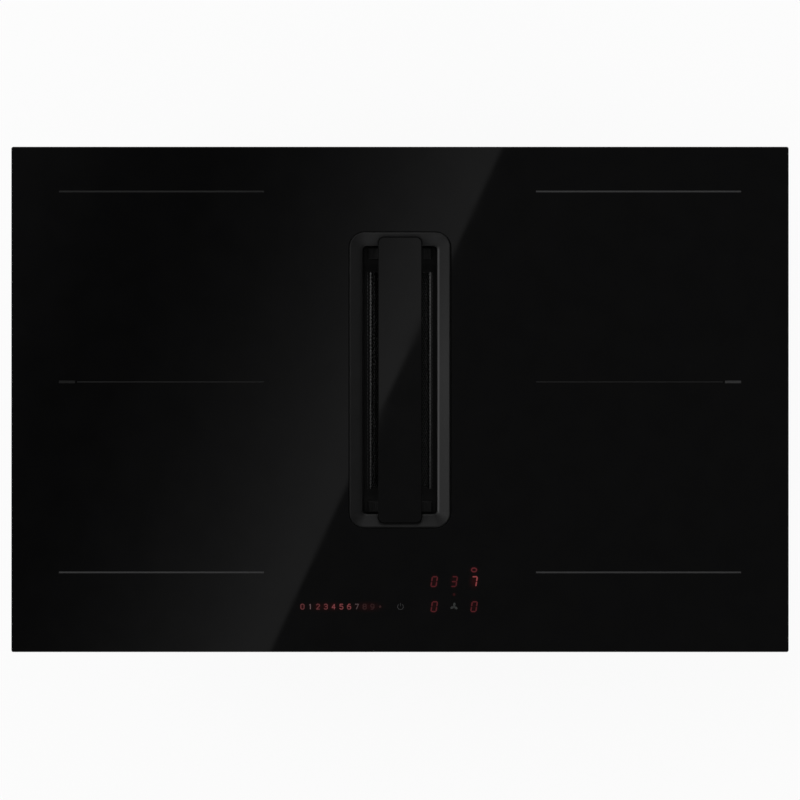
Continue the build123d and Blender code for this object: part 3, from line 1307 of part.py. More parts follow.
def ear_places():
    """Screw ears round the scroll, on its outer wall."""
    centre = (BLOWER_X - VOLUTE_STEP / 2, BLOWER_Y - VOLUTE_STEP / 2)
    reach = VOLUTE_R + SCROLL_WALL + SCREW_HEAD_R + EAR_HEAD_GAP
    places = [polar(centre, reach, angle) for angle in (105, 150)]
    centre = (BLOWER_X + VOLUTE_STEP / 2, BLOWER_Y - VOLUTE_STEP / 2)
    return places + [polar(centre, reach + VOLUTE_STEP, angle) for angle in (205, 250)]


def scroll_half(side):
    """The upper or lower half of the scroll; side is 1 for the upper half."""
    end = BLOWER_Z + side * SCROLL_H / 2
    inside = end - side * SCROLL_WALL
    body = rise(volute(SCROLL_WALL), *sorted((BLOWER_Z, end)))
    body += [rod(EAR_R, *sorted((BLOWER_Z, BLOWER_Z + side * EAR_T)), x, y) for x, y in ear_places()]
    body -= rise(volute(0), *sorted((BLOWER_Z, inside)))
    body -= rod(INLET_R, *sorted((end, inside)), BLOWER_X, BLOWER_Y)
    lip_ring = sorted((inside, inside - side * INLET_LIP))
    body += tube(INLET_R + SCROLL_WALL, INLET_R, *lip_ring, BLOWER_X, BLOWER_Y)
    return body - screw_holes(ear_places(), *sorted((BLOWER_Z, BLOWER_Z + side * EAR_T)))


def outlet_duct():
    """From the scroll's throat, widening to the flat duct's collar behind the plenum."""
    throat_x = (THROAT_X0 + THROAT_X1) / 2
    throat_w = THROAT_X1 - THROAT_X0
    throat_h = SCROLL_H - 2 * SCROLL_WALL
    wall_y = PLENUM_Y1 - PLENUM_WALL
    parts = []
    for grow in (SCROLL_WALL, 0):
        small = Plane(origin=(throat_x, THROAT_Y, BLOWER_Z), x_dir=(1, 0, 0), z_dir=(0, 1, 0))
        large = Plane(origin=(OUTLET_X, wall_y, BLOWER_Z), x_dir=(1, 0, 0), z_dir=(0, 1, 0))
        out_w = OUTLET_W - 2 * OUTLET_WALL if grow == 0 else OUTLET_W
        out_h = OUTLET_H - 2 * OUTLET_WALL if grow == 0 else OUTLET_H
        radius = OUTLET_R if grow else OUTLET_R - OUTLET_WALL
        start = small * RectangleRounded(throat_w + 2 * grow, throat_h + 2 * grow, SCROLL_WALL)
        parts.append(loft([start, large * RectangleRounded(out_w, out_h, radius)], ruled=True))
    body = parts[0]
    flange_w = OUTLET_W + 2 * OUTLET_FLANGE_W
    flange_h = OUTLET_H + 2 * OUTLET_FLANGE_W
    body += outlet_section(flange_w, flange_h, OUTLET_R + OUTLET_FLANGE_W, wall_y - OUTLET_FLANGE_T, wall_y)
    body += outlet_section(OUTLET_W, OUTLET_H, OUTLET_R, wall_y, OUTLET_Y)
    body -= parts[1]
    inner_w = OUTLET_W - 2 * OUTLET_WALL
    inner_h = OUTLET_H - 2 * OUTLET_WALL
    return body - outlet_section(inner_w, inner_h, OUTLET_R - OUTLET_WALL, wall_y, OUTLET_Y)


def impeller_blade():
    """One forward-curved blade in plan, as a thin curved strip."""
    inner_r = IMPELLER_R - BLADE_DEPTH
    points = [polar((0, 0), inner_r, 0), polar((0, 0), inner_r + BLADE_DEPTH / 2, BLADE_MIDDLE_TURN),
              polar((0, 0), IMPELLER_R - SHROUD_T / 4, BLADE_TURN)]
    front = ThreePointArc(*points)
    turn = math.degrees(BLADE_T / IMPELLER_R)
    back = Rot(0, 0, turn) * front
    return make_face([front, back, Line(front @ 0, back @ 0), Line(front @ 1, back @ 1)])


def impeller():
    low = BLOWER_Z - IMPELLER_W / 2
    high = BLOWER_Z + IMPELLER_W / 2
    inner_r = IMPELLER_R - BLADE_DEPTH
    blade = impeller_blade()
    blades = [rise(Rot(0, 0, i * 360 / BLADE_COUNT) * blade, low, high) for i in range(BLADE_COUNT)]
    body = rod(IMPELLER_R, BLOWER_Z - DISC_T / 2, BLOWER_Z + DISC_T / 2)
    body += [tube(IMPELLER_R, inner_r, low, low + SHROUD_T), tube(IMPELLER_R, inner_r, high - SHROUD_T, high)]
    body += rod(HUB_R, BLOWER_Z - DISC_T, BLOWER_Z - DISC_T + HUB_L)
    body += blades
    body -= rod(SHAFT_R, BLOWER_Z - HUB_L, BLOWER_Z + HUB_L)
    return Pos(BLOWER_X, BLOWER_Y, 0) * body


def motor_shaft():
    return rod(SHAFT_R, SCROLL_Z0 + SHAFT_END_GAP, BLOWER_Z - DISC_T + HUB_L, BLOWER_X, BLOWER_Y)


def motor_can():
    body = rod(MOTOR_R, SCROLL_Z0, MOTOR_Z1)
    body = fillet(body.faces().sort_by(Axis.Z)[-1].edges(), MOTOR_RIM_R)
    body -= rod(MOTOR_BORE_R, SCROLL_Z0, MOTOR_Z1)
    body -= [rod(BEARING_R, SCROLL_Z0, SCROLL_Z0 + BEARING_T), rod(BEARING_R, MOTOR_Z1 - BEARING_T, MOTOR_Z1)]
    return Pos(BLOWER_X, BLOWER_Y, 0) * body


def motor_bearings():
    bore = SHAFT_R + BEARING_CLEAR
    rings = [tube(BEARING_R, bore, z, z + BEARING_T, BLOWER_X, BLOWER_Y)
             for z in (SCROLL_Z0, MOTOR_Z1 - BEARING_T)]
    return group(rings)


def motor_bracket():
    """A three-armed spider under the scroll's lower inlet that carries the motor."""
    low = SCROLL_Z0 - SPIDER_T
    ring_r = INLET_R + SCROLL_WALL
    body = tube(ring_r + SPIDER_RING_W, ring_r, low, SCROLL_Z0)
    body += rod(SPIDER_HUB_R, low, SCROLL_Z0)
    for turn in (90, 210, 330):
        arm = block(0, ring_r + SPIDER_RING_W / 2, -SPIDER_ARM_W / 2, SPIDER_ARM_W / 2, low, SCROLL_Z0)
        body += Rot(0, 0, turn) * arm
    return Pos(BLOWER_X, BLOWER_Y, 0) * body


# ---- driver box and its lead
def driver_box():
    x = (DRIVER_X0 + DRIVER_X1) / 2
    body = plate(DRIVER_W, DRIVER_D, DRIVER_Z, TRAY_Z, DRIVER_R, x, 0)
    body = fillet(body.faces().sort_by(Axis.Z)[0].edges(), COVER_WALL)
    return body - plate(DRIVER_W - 2 * COVER_WALL, DRIVER_D - 2 * COVER_WALL, DRIVER_Z + COVER_WALL, TRAY_Z,
                        DRIVER_R - COVER_WALL, x, 0)


def fan_cable():
    """The blower's lead: out of the driver box's front and into the plenum's side."""
    x = DRIVER_X1 - LEAD_IN
    z = TRAY_Z - LEAD_DROP
    start = (x, -DRIVER_D / 2, z)
    corner = (x, -DRIVER_D / 2 - LEAD_IN, z)
    end = (PLENUM_X0, -DRIVER_D / 2 - LEAD_IN, z)
    path = FilletPolyline(start, corner, end, radius=LEAD_BEND_R)
    section = Plane(origin=start, z_dir=(0, -1, 0)) * Circle(LEAD_R)
    return sweep(section, path=path)


# ---- clamps and screws
def clamp(name):
    """A swivel clamp, parked along the tray's side."""
    x, y = clamp_places()[name]
    inward = -1 if y > 0 else 1
    middle = y + inward * (CLAMP_REACH - CLAMP_W / 2) / 2
    body = plate(CLAMP_W, CLAMP_REACH + CLAMP_W / 2, CLAMP_Z, CLAMP_Z + CLAMP_T, CLAMP_END_R, x, middle)
    body -= rod(CLAMP_PIVOT_R + CLAMP_RUN_CLEAR, CLAMP_Z, CLAMP_Z + CLAMP_T, x, y)
    ridge_y = y + inward * (CLAMP_REACH - CLAMP_RIDGE_L / 2 - CLAMP_RIDGE_W)
    ridge_z = CLAMP_Z - CLAMP_RIDGE_H
    return body + plate(CLAMP_RIDGE_W, CLAMP_RIDGE_L, ridge_z, CLAMP_Z, CLAMP_RIDGE_R, x, ridge_y)


def case_screws():
    lid_length = TRAY_SHEET + PLENUM_WALL + LIP_T
    screws = [screw(x, y, FLOOR_Z, lid_length) for x, y in lid_screw_places()]
    screws += [screw(x, y, SPLIT_Z - LIP_T, 2 * LIP_T, up=-1) for x, y in lip_screw_places()]
    screws += [screw(x, y, BLOWER_Z + EAR_T, 2 * EAR_T) for x, y in ear_places()]
    seat = CLAMP_Z - CLAMP_HEAD_GAP
    for x, y in clamp_places().values():
        screws.append(screw(x, y, seat, FLOOR_Z - seat, up=-1, radius=CLAMP_PIVOT_R))
    return group(screws)


def all_parts():
    marks = {
        "zone_lines": zone_lines(),
        "display_digits": display_digits(),
        "slider_digits": slider_digits(),
        "key_symbols": key_symbols(),
    }
    parts = dict(marks)
    parts["glass_top"] = glass_top(list(marks.values()))
    single = [worktop_seal, intake_rim, rim_gasket, intake_duct, cover_glass, cover_carrier, cover_pads,
              filter_frame, drip_channel, liquid_container, base_tray, case_screws, coil_insulation,
              coil_formers, coil_ferrites, coil_sensors, electrical_parts, control_board, display_modules,
              touch_pads, control_bracket, terminal_cover, cable_gland, plenum_lid, plenum_tub, outlet_duct,
              impeller, motor_shaft, motor_can, motor_bearings, motor_bracket, driver_box, fan_cable]
    for maker in single:
        parts[maker.__name__] = maker()
    for maker in (filter_mesh, coil_support, power_board, heat_sink, fan_case, fan_rotor):
        for name, side in SIDES.items():
            parts[f"{maker.__name__}_{name}"] = maker(side)
    for name, (x, y) in COIL_PLACES.items():
        parts[f"coil_{name}"] = winding(x, y)
        parts[f"clamp_{name}"] = clamp(name)
    parts["scroll_upper"] = scroll_half(1)
    parts["scroll_lower"] = scroll_half(-1)
    return parts


def main():
    os.makedirs("parts", exist_ok=True)
    for name, shape in all_parts().items():
        export_step(shape, f"parts/{name}.step")
    print(f"least gap between turns of a coil: {winding_gap():.2f} mm")


main()
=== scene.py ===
import math
from functools import reduce

import bmesh
import bpy
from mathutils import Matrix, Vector


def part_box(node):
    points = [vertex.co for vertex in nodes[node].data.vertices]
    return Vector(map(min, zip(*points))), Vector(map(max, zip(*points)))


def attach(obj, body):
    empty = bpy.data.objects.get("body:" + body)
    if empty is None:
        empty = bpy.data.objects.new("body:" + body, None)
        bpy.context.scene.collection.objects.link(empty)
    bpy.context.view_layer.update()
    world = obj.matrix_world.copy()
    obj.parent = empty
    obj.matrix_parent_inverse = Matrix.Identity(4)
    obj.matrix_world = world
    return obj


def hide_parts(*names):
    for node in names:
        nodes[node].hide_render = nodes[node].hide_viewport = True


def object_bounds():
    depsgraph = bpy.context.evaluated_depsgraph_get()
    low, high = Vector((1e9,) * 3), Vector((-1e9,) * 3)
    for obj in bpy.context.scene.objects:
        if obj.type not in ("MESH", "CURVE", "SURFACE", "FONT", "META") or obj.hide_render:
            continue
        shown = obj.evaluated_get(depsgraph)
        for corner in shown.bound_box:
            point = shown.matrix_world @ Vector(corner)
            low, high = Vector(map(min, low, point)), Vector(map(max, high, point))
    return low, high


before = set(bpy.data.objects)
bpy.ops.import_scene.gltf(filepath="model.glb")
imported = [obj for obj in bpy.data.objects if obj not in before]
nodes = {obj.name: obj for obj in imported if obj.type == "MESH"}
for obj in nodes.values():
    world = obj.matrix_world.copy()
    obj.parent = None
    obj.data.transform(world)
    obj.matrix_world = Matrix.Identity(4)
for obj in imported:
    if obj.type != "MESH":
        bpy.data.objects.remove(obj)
cad_low, cad_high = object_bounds()
scene = bpy.context.scene
scene.view_settings.view_transform = "Standard"


def reach_of(node, axis):
    """A node's lowest and highest value along an axis, to a micrometre."""
    return [round(getattr(corner, axis), 6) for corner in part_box(node)]


GLASS_TOP = reach_of("glass_top", "z")[1]
MIDDLE_Y = sum(reach_of("intake_rim", "y")) / 2


# ---- camera: straight down, at the photograph's scale
PHOTO_PX = 800
PIXEL = 0.0010292               # metres to a pixel of the photograph
MIDDLE_PX = (400.0, 399.4)      # the glass's middle in the photograph
LENS = 200.0
SENSOR = 36.0
CAMERA_DISTANCE = PHOTO_PX * PIXEL / (SENSOR / LENS)


def add_camera():
    """Far off, with a long lens, so that nearly nothing shows from the side."""
    data = bpy.data.cameras.new("photo_camera")
    data.lens = LENS
    data.sensor_width = SENSOR
    data.clip_start = 0.1
    data.clip_end = 60.0
    camera = bpy.data.objects.new("photo_camera", data)
    offset = (MIDDLE_PX[1] - PHOTO_PX / 2) * PIXEL
    camera.location = (0.0, offset, GLASS_TOP + CAMERA_DISTANCE)
    scene.collection.objects.link(camera)
    scene.camera = camera


# ---- small helpers for node materials
NOISE_RANGE = (0.3, 0.7)        # nearly all that a noise texture gives lies in here
COLOUR_A = 6                    # the Mix node's colour sockets, by number
COLOUR_B = 7
COLOUR_MIXED = 2
THROUGH = (1, 1, 0.01)          # a stretch that runs a texture straight down through a flat part


def add_node(tree, kind, inputs, **settings):
    """A shader node; each input is linked to a socket or set to a value."""
    node = tree.nodes.new(f"ShaderNode{kind}")
    for name, value in settings.items():
        setattr(node, name, value)
    for socket, value in inputs.items():
        if isinstance(value, bpy.types.NodeSocket):
            tree.links.new(value, node.inputs[socket])
        else:
            node.inputs[socket].default_value = value
    return node


class Paint:
    """A node material around one Principled shader, in row-frame coordinates."""

    def __init__(self, name, colour, roughness, **fixed):
        self.material = bpy.data.materials.new(name)
        self.material.use_nodes = True
        self.tree = self.material.node_tree
        self.shader = self.tree.nodes["Principled BSDF"]
        self.set("Base Color", (*colour, 1.0))
        self.set("Roughness", roughness)
        for key, value in fixed.items():
            self.set(key.replace("_", " "), value)
        self.place = self.node("TexCoord", {}).outputs["Object"]

    def node(self, kind, inputs, **settings):
        return add_node(self.tree, kind, inputs, **settings)

    def set(self, socket, value):
        """A constant on the shader's own socket."""
        self.shader.inputs[socket].default_value = value

    def feed(self, socket, output):
        """A node's output into the shader."""
        self.tree.links.new(output, self.shader.inputs[socket])

    def tint(self, share, dark, pale):
        """Base colour between two colours."""
        self.feed("Base Color", self.mix(share, dark, pale))

    def mapped(self, stretch):
        """The place, stretched along its axes."""
        return self.node("Mapping", {"Vector": self.place, "Scale": stretch}).outputs["Vector"]

    def noise(self, scale, detail=3.0, rough=0.55, stretch=(1, 1, 1)):
        inputs = {"Vector": self.mapped(stretch), "Scale": scale, "Detail": detail, "Roughness": rough}
        return self.node("TexNoise", inputs).outputs["Fac"]

    def cells(self, scale, feature="F1", output="Distance", stretch=(1, 1, 1)):
        inputs = {"Vector": self.mapped(stretch), "Scale": scale}
        return self.node("TexVoronoi", inputs, feature=feature).outputs[output]

    def waves(self, scale, stretch):
        inputs = {"Vector": self.mapped(stretch), "Scale": scale}
        return self.node("TexWave", inputs).outputs["Fac"]

    def spread(self, value, low, high, to_low, to_high, smooth=False):
        """A value between low and high, carried over to another range and held at its ends."""
        inputs = {"Value": value, "From Min": low, "From Max": high,
                  "To Min": to_low, "To Max": to_high}
        kind = "SMOOTHSTEP" if smooth else "LINEAR"
        return self.node("MapRange", inputs, clamp=True, interpolation_type=kind).outputs["Result"]

    def vary(self, noise, to_low, to_high):
        """A noise carried over to another range."""
        return self.spread(noise, *NOISE_RANGE, to_low, to_high)

    def maths(self, operation, *values):
        return self.node("Math", dict(enumerate(values)), operation=operation).outputs[0]

    def plus(self, *values):
        return reduce(lambda a, b: self.maths("ADD", a, b), values)

    def times(self, *values):
        return reduce(lambda a, b: self.maths("MULTIPLY", a, b), values)

    def vector(self, operation, *values):
        output = "Value" if operation == "LENGTH" else "Vector"
        return self.node("VectorMath", dict(enumerate(values)), operation=operation).outputs[output]

    def part(self, axis, source=None):
        """X, Y or Z of the place, or of another vector or colour."""
        return self.node("SeparateXYZ", {0: source or self.place}).outputs[axis]

    def from_middle(self):
        """How far a place is from the intake's middle, along Y."""
        return self.maths("ABSOLUTE", self.plus(self.part("Y"), -MIDDLE_Y))

    def facing_up(self):
        """The face's own normal along Z: 1 on top, 0 on a wall, -1 underneath."""
        return self.part("Z", self.node("NewGeometry", {}).outputs["True Normal"])

    def mix(self, share, a, b):
        """Colour a where the share is 0, and b where it is 1."""
        a, b = ((*value, 1.0) if isinstance(value, tuple) else value for value in (a, b))
        inputs = {"Factor": share, COLOUR_A: a, COLOUR_B: b}
        return self.node("Mix", inputs, data_type="RGBA").outputs[COLOUR_MIXED]

    def bump(self, height, distance, strength=1.0):
        """A bump, laid over the bumps made before it."""
        inputs = {"Height": height, "Distance": distance, "Strength": strength}
        before = self.shader.inputs["Normal"].links
        if before:
            inputs["Normal"] = before[0].from_socket
        self.feed("Normal", self.node("Bump", inputs).outputs["Normal"])


def shade(colour, factor):
    """A colour made darker or paler."""
    return tuple(channel * factor for channel in colour)


# ---- lit marks
DIGIT_X = (0.0352, 0.0557, 0.0762)
UPPER_ROW = -0.1875
LOWER_ROW = -0.2133
RING_Y = UPPER_ROW + 0.0120     # the ring over the right-hand digit
DOT_Y = LOWER_ROW + 0.0126      # the dot over the fan key
DIGIT_HALF = (0.0035, 0.0060)
LIT_PLACES = [
    # x, y, half width, half height, share of the brightest
    (DIGIT_X[0], UPPER_ROW, *DIGIT_HALF, 0.16),
    (DIGIT_X[1], UPPER_ROW, *DIGIT_HALF, 0.13),
    (DIGIT_X[2], UPPER_ROW, 0.0040, 0.0062, 0.66),
    (DIGIT_X[0], LOWER_ROW, *DIGIT_HALF, 0.16),
    (DIGIT_X[2], LOWER_ROW, *DIGIT_HALF, 0.16),
    (DIGIT_X[2], RING_Y, 0.0040, 0.0032, 0.22),
    (DIGIT_X[1], DOT_Y, 0.0018, 0.0018, 0.022),
]
DIGIT_EDGE = 0.0012
DIGIT_LIGHT = 0.34
MARK_DEPTH = 0.02               # more than any mark's height over or under the glass

SLIDER_X = -0.1004              # the slider's 0
SLIDER_Y = LOWER_ROW
SLIDER_PITCH = 0.008
SLIDER_EDGE = 0.0008
LIT_TO = (-0.0485, -0.0455)     # X between the slider's 6, the last lit one, and its 7
BRIGHT_FROM = (-0.0745, -0.0705)        # X between its 3 and its 4
KEY_DIVIDE = (0.025, 0.030)     # X between the power key and the fan key

HALO_SPREAD = 2.1               # a digit's halo, as a multiple of its size
HALO_LEAST = 0.006              # its strength round a digit that is nearly dark
HALO_MORE = 0.010               # and what a fully bright one would add to it
HALO_STRIPS = [
    # the slider's figure in its middle, reach along X and Y, strength
    (3, 0.040, 0.009, 0.005),
    (8.4, 0.026, 0.009, 0.008),
]
HALO_FIGURES = (0, 2, 3, 4, 5, 6)
FIGURE_HALO = (0.0046, 0.0062, 0.018)


def slider_x(figure):
    """X of one of the slider's figures."""
    return SLIDER_X + figure * SLIDER_PITCH


def halo_places():
    """Where the glass glows: x, y, reach along X and Y, strength."""
    digits = [(x, y, half_w * HALO_SPREAD, half_h * HALO_SPREAD, HALO_LEAST + HALO_MORE * share)
              for x, y, half_w, half_h, share in LIT_PLACES]
    strips = [(slider_x(figure), SLIDER_Y, *shape) for figure, *shape in HALO_STRIPS]
    figures = [(slider_x(figure), SLIDER_Y, *FIGURE_HALO) for figure in HALO_FIGURES]
    return digits + strips + figures


def near(paint, x, y, half_w, half_h, reach):
    """1 on a box on the glass, and down to 0 at a reach outside it."""
    offset = paint.vector("SUBTRACT", paint.place, (x, y, GLASS_TOP))
    offset = paint.vector("ABSOLUTE", offset)
    offset = paint.vector("SUBTRACT", offset, (half_w, half_h, MARK_DEPTH))
    offset = paint.vector("MAXIMUM", offset, (0, 0, 0))
    return paint.spread(paint.vector("LENGTH", offset), 0.0, reach, 1.0, 0.0, smooth=True)


def glow(paint, x, y, reach_x, reach_y):
    """1 at a place on the glass, fading to 0 on an oval round it."""
    offset = paint.vector("SUBTRACT", paint.place, (x, y, GLASS_TOP))
    offset = paint.vector("MULTIPLY", offset, (1 / reach_x, 1 / reach_y, 0))
    fade = paint.spread(paint.vector("LENGTH", offset), 0.0, 1.0, 1.0, 0.0, smooth=True)
    return paint.times(fade, fade)


def lit_display():
    """Red digits, a ring and a dot, each as bright as its place says."""
    paint = Paint("lit_display", (0.02, 0.003, 0.003), 0.12)
    levels = []
    for x, y, half_w, half_h, share in LIT_PLACES:
        levels.append(paint.times(near(paint, x, y, half_w, half_h, DIGIT_EDGE), share))
    level = paint.plus(*levels)
    grain = paint.vary(paint.noise(900, 2), 0.88, 1.08)
    bright = paint.spread(level, 0.2, 1.0, 0.0, 1.0)
    paint.feed("Emission Color", paint.mix(bright, (1.0, 0.15, 0.19), (1.0, 0.23, 0.21)))
    paint.feed("Emission Strength", paint.times(level, grain, DIGIT_LIGHT))
    return paint.material


def lit_slider():
    """Red figures from 0 to 6, then the unlit ones. The 1 and the 7 are paler."""
    paint = Paint("lit_slider", (0.02, 0.008, 0.008), 0.12)
    x = paint.part("X")
    lit = paint.spread(x, *LIT_TO, 1.0, 0.0)
    one = near(paint, slider_x(1), SLIDER_Y, 0.0022, 0.004, SLIDER_EDGE)
    seven = near(paint, slider_x(7), SLIDER_Y, 0.0024, 0.004, SLIDER_EDGE)
    grain = paint.spread(paint.noise(140, 2), 0.35, 0.65, 0.8, 1.2)
    lit_light = paint.spread(x, *BRIGHT_FROM, 0.098, 0.145)
    light = paint.times(paint.spread(lit, 0.0, 1.0, 0.014, lit_light), grain)
    pale = paint.maths("MAXIMUM", seven, paint.times(one, 0.85))
    red = paint.mix(lit, (1.0, 0.40, 0.40), (1.0, 0.24, 0.26))
    paint.feed("Emission Color", paint.mix(pale, red, (1.0, 0.72, 0.76)))
    paint.feed("Emission Strength", paint.plus(light, paint.times(seven, 0.045)))
    return paint.material


def key_print():
    """Grey symbols, with a tint of their own for each key."""
    paint = Paint("key_print", (0.03, 0.032, 0.032), 0.3)
    fan = paint.spread(paint.part("X"), *KEY_DIVIDE, 0.0, 1.0)
    speck = paint.spread(paint.noise(1200, 2), 0.35, 0.65, 0.75, 1.2)
    colour = paint.mix(fan, (0.042, 0.042, 0.043), (0.037, 0.040, 0.039))
    paint.tint(paint.maths("SUBTRACT", speck, 0.2), (0.012, 0.012, 0.012), colour)
    paint.feed("Roughness", paint.spread(speck, 0.7, 1.2, 0.28, 0.42))
    return paint.material


ZONES_X = (-0.10, 0.10)         # between the left zones and the right ones
ZONES_Y = (-0.15, 0.20)         # from the front lines to the back ones
BAR_X = (0.3335, 0.3345)        # the short bars stand further out than this, left and right
MIDDLE_ROW_Y = 0.018
MIDDLE_ROW_REACH = (0.05, 0.15)


def zone_print():
    """Fired-on pale dots that blend into a line, fainter in the middle row and at the back left."""
    paint = Paint("zone_print", (0.04, 0.04, 0.041), 0.38)
    x = paint.part("X")
    y = paint.part("Y")
    right = paint.spread(x, *ZONES_X, 0.0, 1.0)
    outer_left = paint.spread(y, *ZONES_Y, 0.86, 0.16)
    outer = paint.spread(right, 0.0, 1.0, outer_left, 0.88)
    bars = paint.spread(right, 0.0, 1.0, 0.020, 0.71)
    middle = paint.spread(right, 0.0, 1.0, 0.085, 0.118)
    at_bar = paint.spread(paint.maths("ABSOLUTE", x), *BAR_X, 0.0, 1.0)
    middle_row = paint.spread(at_bar, 0.0, 1.0, middle, bars)
    from_row = paint.maths("ABSOLUTE", paint.plus(y, -MIDDLE_ROW_Y))
    at_middle = paint.spread(from_row, *MIDDLE_ROW_REACH, 1.0, 0.0)
    dots = paint.spread(paint.cells(2600), 0.15, 0.55, 1.15, 0.75)
    level = paint.times(paint.spread(at_middle, 0.0, 1.0, outer, middle_row), dots)
    paint.tint(level, (0.004, 0.004, 0.004), (0.046, 0.046, 0.047))
    paint.bump(dots, 0.00001, 0.4)
    return paint.material


# ---- glass, and what lies round the intake
SLANTED = (0.80, 0.97)          # a face whose normal's Z is under this isn't flat on top
UNDERNEATH = (-0.9, -0.5)
ON_TOP = (0.5, 0.9)


def black_glass(name, lit=False, ior=1.5):
    """Black glass ceramic: mirror-smooth on top, ground at its edges, dimpled underneath."""
    paint = Paint(name, (0.0014, 0.0014, 0.0015), 0.02, IOR=ior)
    up = paint.facing_up()
    smears = paint.spread(paint.noise(7, 4, stretch=(1, 1.6, 1)), 0.35, 0.7, 0.012, 0.05)
    ground = paint.spread(up, *SLANTED, 0.95, 0.0)
    below = paint.spread(up, *UNDERNEATH, 0.42, 0.0)
    paint.feed("Roughness", paint.maths("MAXIMUM", paint.maths("MAXIMUM", smears, ground), below))
    dimples = paint.spread(paint.cells(420), 0.0, 0.6, 1.0, 0.0)
    paint.bump(paint.times(dimples, paint.spread(up, *UNDERNEATH, 1.0, 0.0)), 0.00012, 0.6)
    depth = paint.vary(paint.noise(35, 3), 0.0, 1.0)
    paint.tint(depth, (0.0012, 0.0012, 0.0013), (0.0018, 0.0018, 0.0019))
    if lit:
        halos = [paint.times(glow(paint, *place), strength) for *place, strength in halo_places()]
        on_top = paint.spread(up, *ON_TOP, 0.0, 1.0)
        paint.set("Emission Color", (1.0, 0.045, 0.06, 1.0))
        paint.feed("Emission Strength", paint.times(paint.plus(*halos), on_top))
    return paint.material


RIM_ENDS = (0.134, 0.142)       # from the intake's middle along Y, where the rim's two ends begin
CORNER_SHADE_X = (0.036, 0.046)    # from the middle along X, where painted shade darkens the ends' outer corners
LEFT_LIGHT_X = (-0.0420, -0.0385)   # X at the inner edge of the rim's left side, outside which painted light makes it paler
RIM_RIGHT = (0.030, 0.036)      # X, where its right side begins
END_LIGHT_Y = (-0.10, 0.14)   # Y, from its front end to its back end, along which painted light grows
RIM_BACK = (0.03, 0.15)         # Y, over its back half
MOUTH_SHADE_FROM = -0.1165             # Y at the mouth's front edge, where the painted shade is darkest
MOUTH_SHADE_TO = (-0.1215, -0.1315)    # Y where it has faded, at the left and at the right
MOUTH_SHADE_X = (-0.03, 0.02)          # X of those two
MOUTH_HIGHLIGHT_IN = (0.0383, 0.0392)    # X, where the painted highlight on the right of the mouth comes up
MOUTH_HIGHLIGHT_OUT = (0.0398, 0.0412)   # and goes away
MOUTH_HIGHLIGHT_END = (0.134, 0.138)     # and where it ends, along Y from the middle


def rim_metal():
    """Dark blasted aluminium with streaks across its ends; painted light on the back end and the left
    side, painted shade at the ends' corners and the mouth's front, and a painted highlight on the
    right mouth edge.
    """
    paint = Paint("rim_metal", (0.009, 0.009, 0.0092), 0.44, Specular_IOR_Level=0.28)
    x = paint.part("X")
    y = paint.part("Y")
    along = paint.from_middle()
    ends = paint.spread(along, *RIM_ENDS, 0.0, 1.0)
    streaks = paint.noise(900, 3, 0.6, stretch=(0.02, 1, 1))
    fleck = paint.times(paint.maths("SUBTRACT", streaks, 0.5), ends)
    worn = paint.spread(paint.noise(60, 4), 0.4, 0.75, 0.9, 1.15)
    tone = paint.times(paint.plus(1.0, paint.times(fleck, 0.7)), worn)
    # Painted light and shade on the two ends: far paler towards the back end, darker at the outer
    # corners.
    corners = paint.spread(paint.maths("ABSOLUTE", x), *CORNER_SHADE_X, 1.0, 0.4)
    back = paint.times(paint.spread(y, *END_LIGHT_Y, 1.0, 6.6), corners)
    # Painted light: the left side made paler.
    left = paint.spread(x, *LEFT_LIGHT_X, 2.7, 1.0)
    tone = paint.times(tone, paint.spread(ends, 0.0, 1.0, left, back))
    # Painted shade along the front of the mouth, fading out over a wider band on the right.
    mouth_shade_to = paint.spread(x, *MOUTH_SHADE_X, *MOUTH_SHADE_TO)
    tone = paint.times(tone, paint.spread(y, MOUTH_SHADE_FROM, mouth_shade_to, 0.35, 1.0))
    # Painted highlight: a pale line along the right edge of the mouth, up to the ends.
    mouth_highlight = paint.times(paint.spread(x, *MOUTH_HIGHLIGHT_IN, 0.0, 1.0), paint.spread(x, *MOUTH_HIGHLIGHT_OUT, 1.0, 0.0),
                         paint.spread(along, *MOUTH_HIGHLIGHT_END, 7.0, 0.0))
    share = paint.spread(paint.plus(tone, mouth_highlight), 0.0, 16.0, 0.0, 1.0)
    paint.tint(share, (0.0, 0.0, 0.0), (0.104, 0.104, 0.106))
    grit = paint.noise(2400, 2)
    dulled = paint.times(paint.spread(x, *RIM_RIGHT, 0.0, 1.0), paint.spread(y, *RIM_BACK, 0.0, 0.16))
    paint.feed("Roughness", paint.plus(paint.vary(grit, 0.40, 0.54), dulled))
    paint.bump(grit, 0.00003, 0.35)
    paint.bump(fleck, 0.00004, 0.5)
    return paint.material


HEM_SHADE_Y = (-0.085, 0.125)
LIT_BLOCKS_FROM = (0.1185, 0.1215)    # from the intake's middle along Y, where the grip blocks and their painted light begin
BLOCK_LIGHT_Y = (-0.1, 0.1)


def hem_steel(name, tone):
    """The weave's rolled edge: scuffed, with painted shade that darkens it towards the front."""
    paint = Paint(name, (tone, tone, tone), 0.5, Metallic=0.3)
    # Painted shade: darker towards the front.
    front = paint.spread(paint.part("Y"), *HEM_SHADE_Y, 0.42, 1.0)
    scuff = paint.vary(paint.noise(420, 3), 0.8, 1.1)
    paint.tint(paint.times(front, scuff), (0.01, 0.01, 0.01), (tone, tone, tone))
    paint.feed("Roughness", paint.spread(scuff, 0.8, 1.1, 0.56, 0.44))
    return paint.material


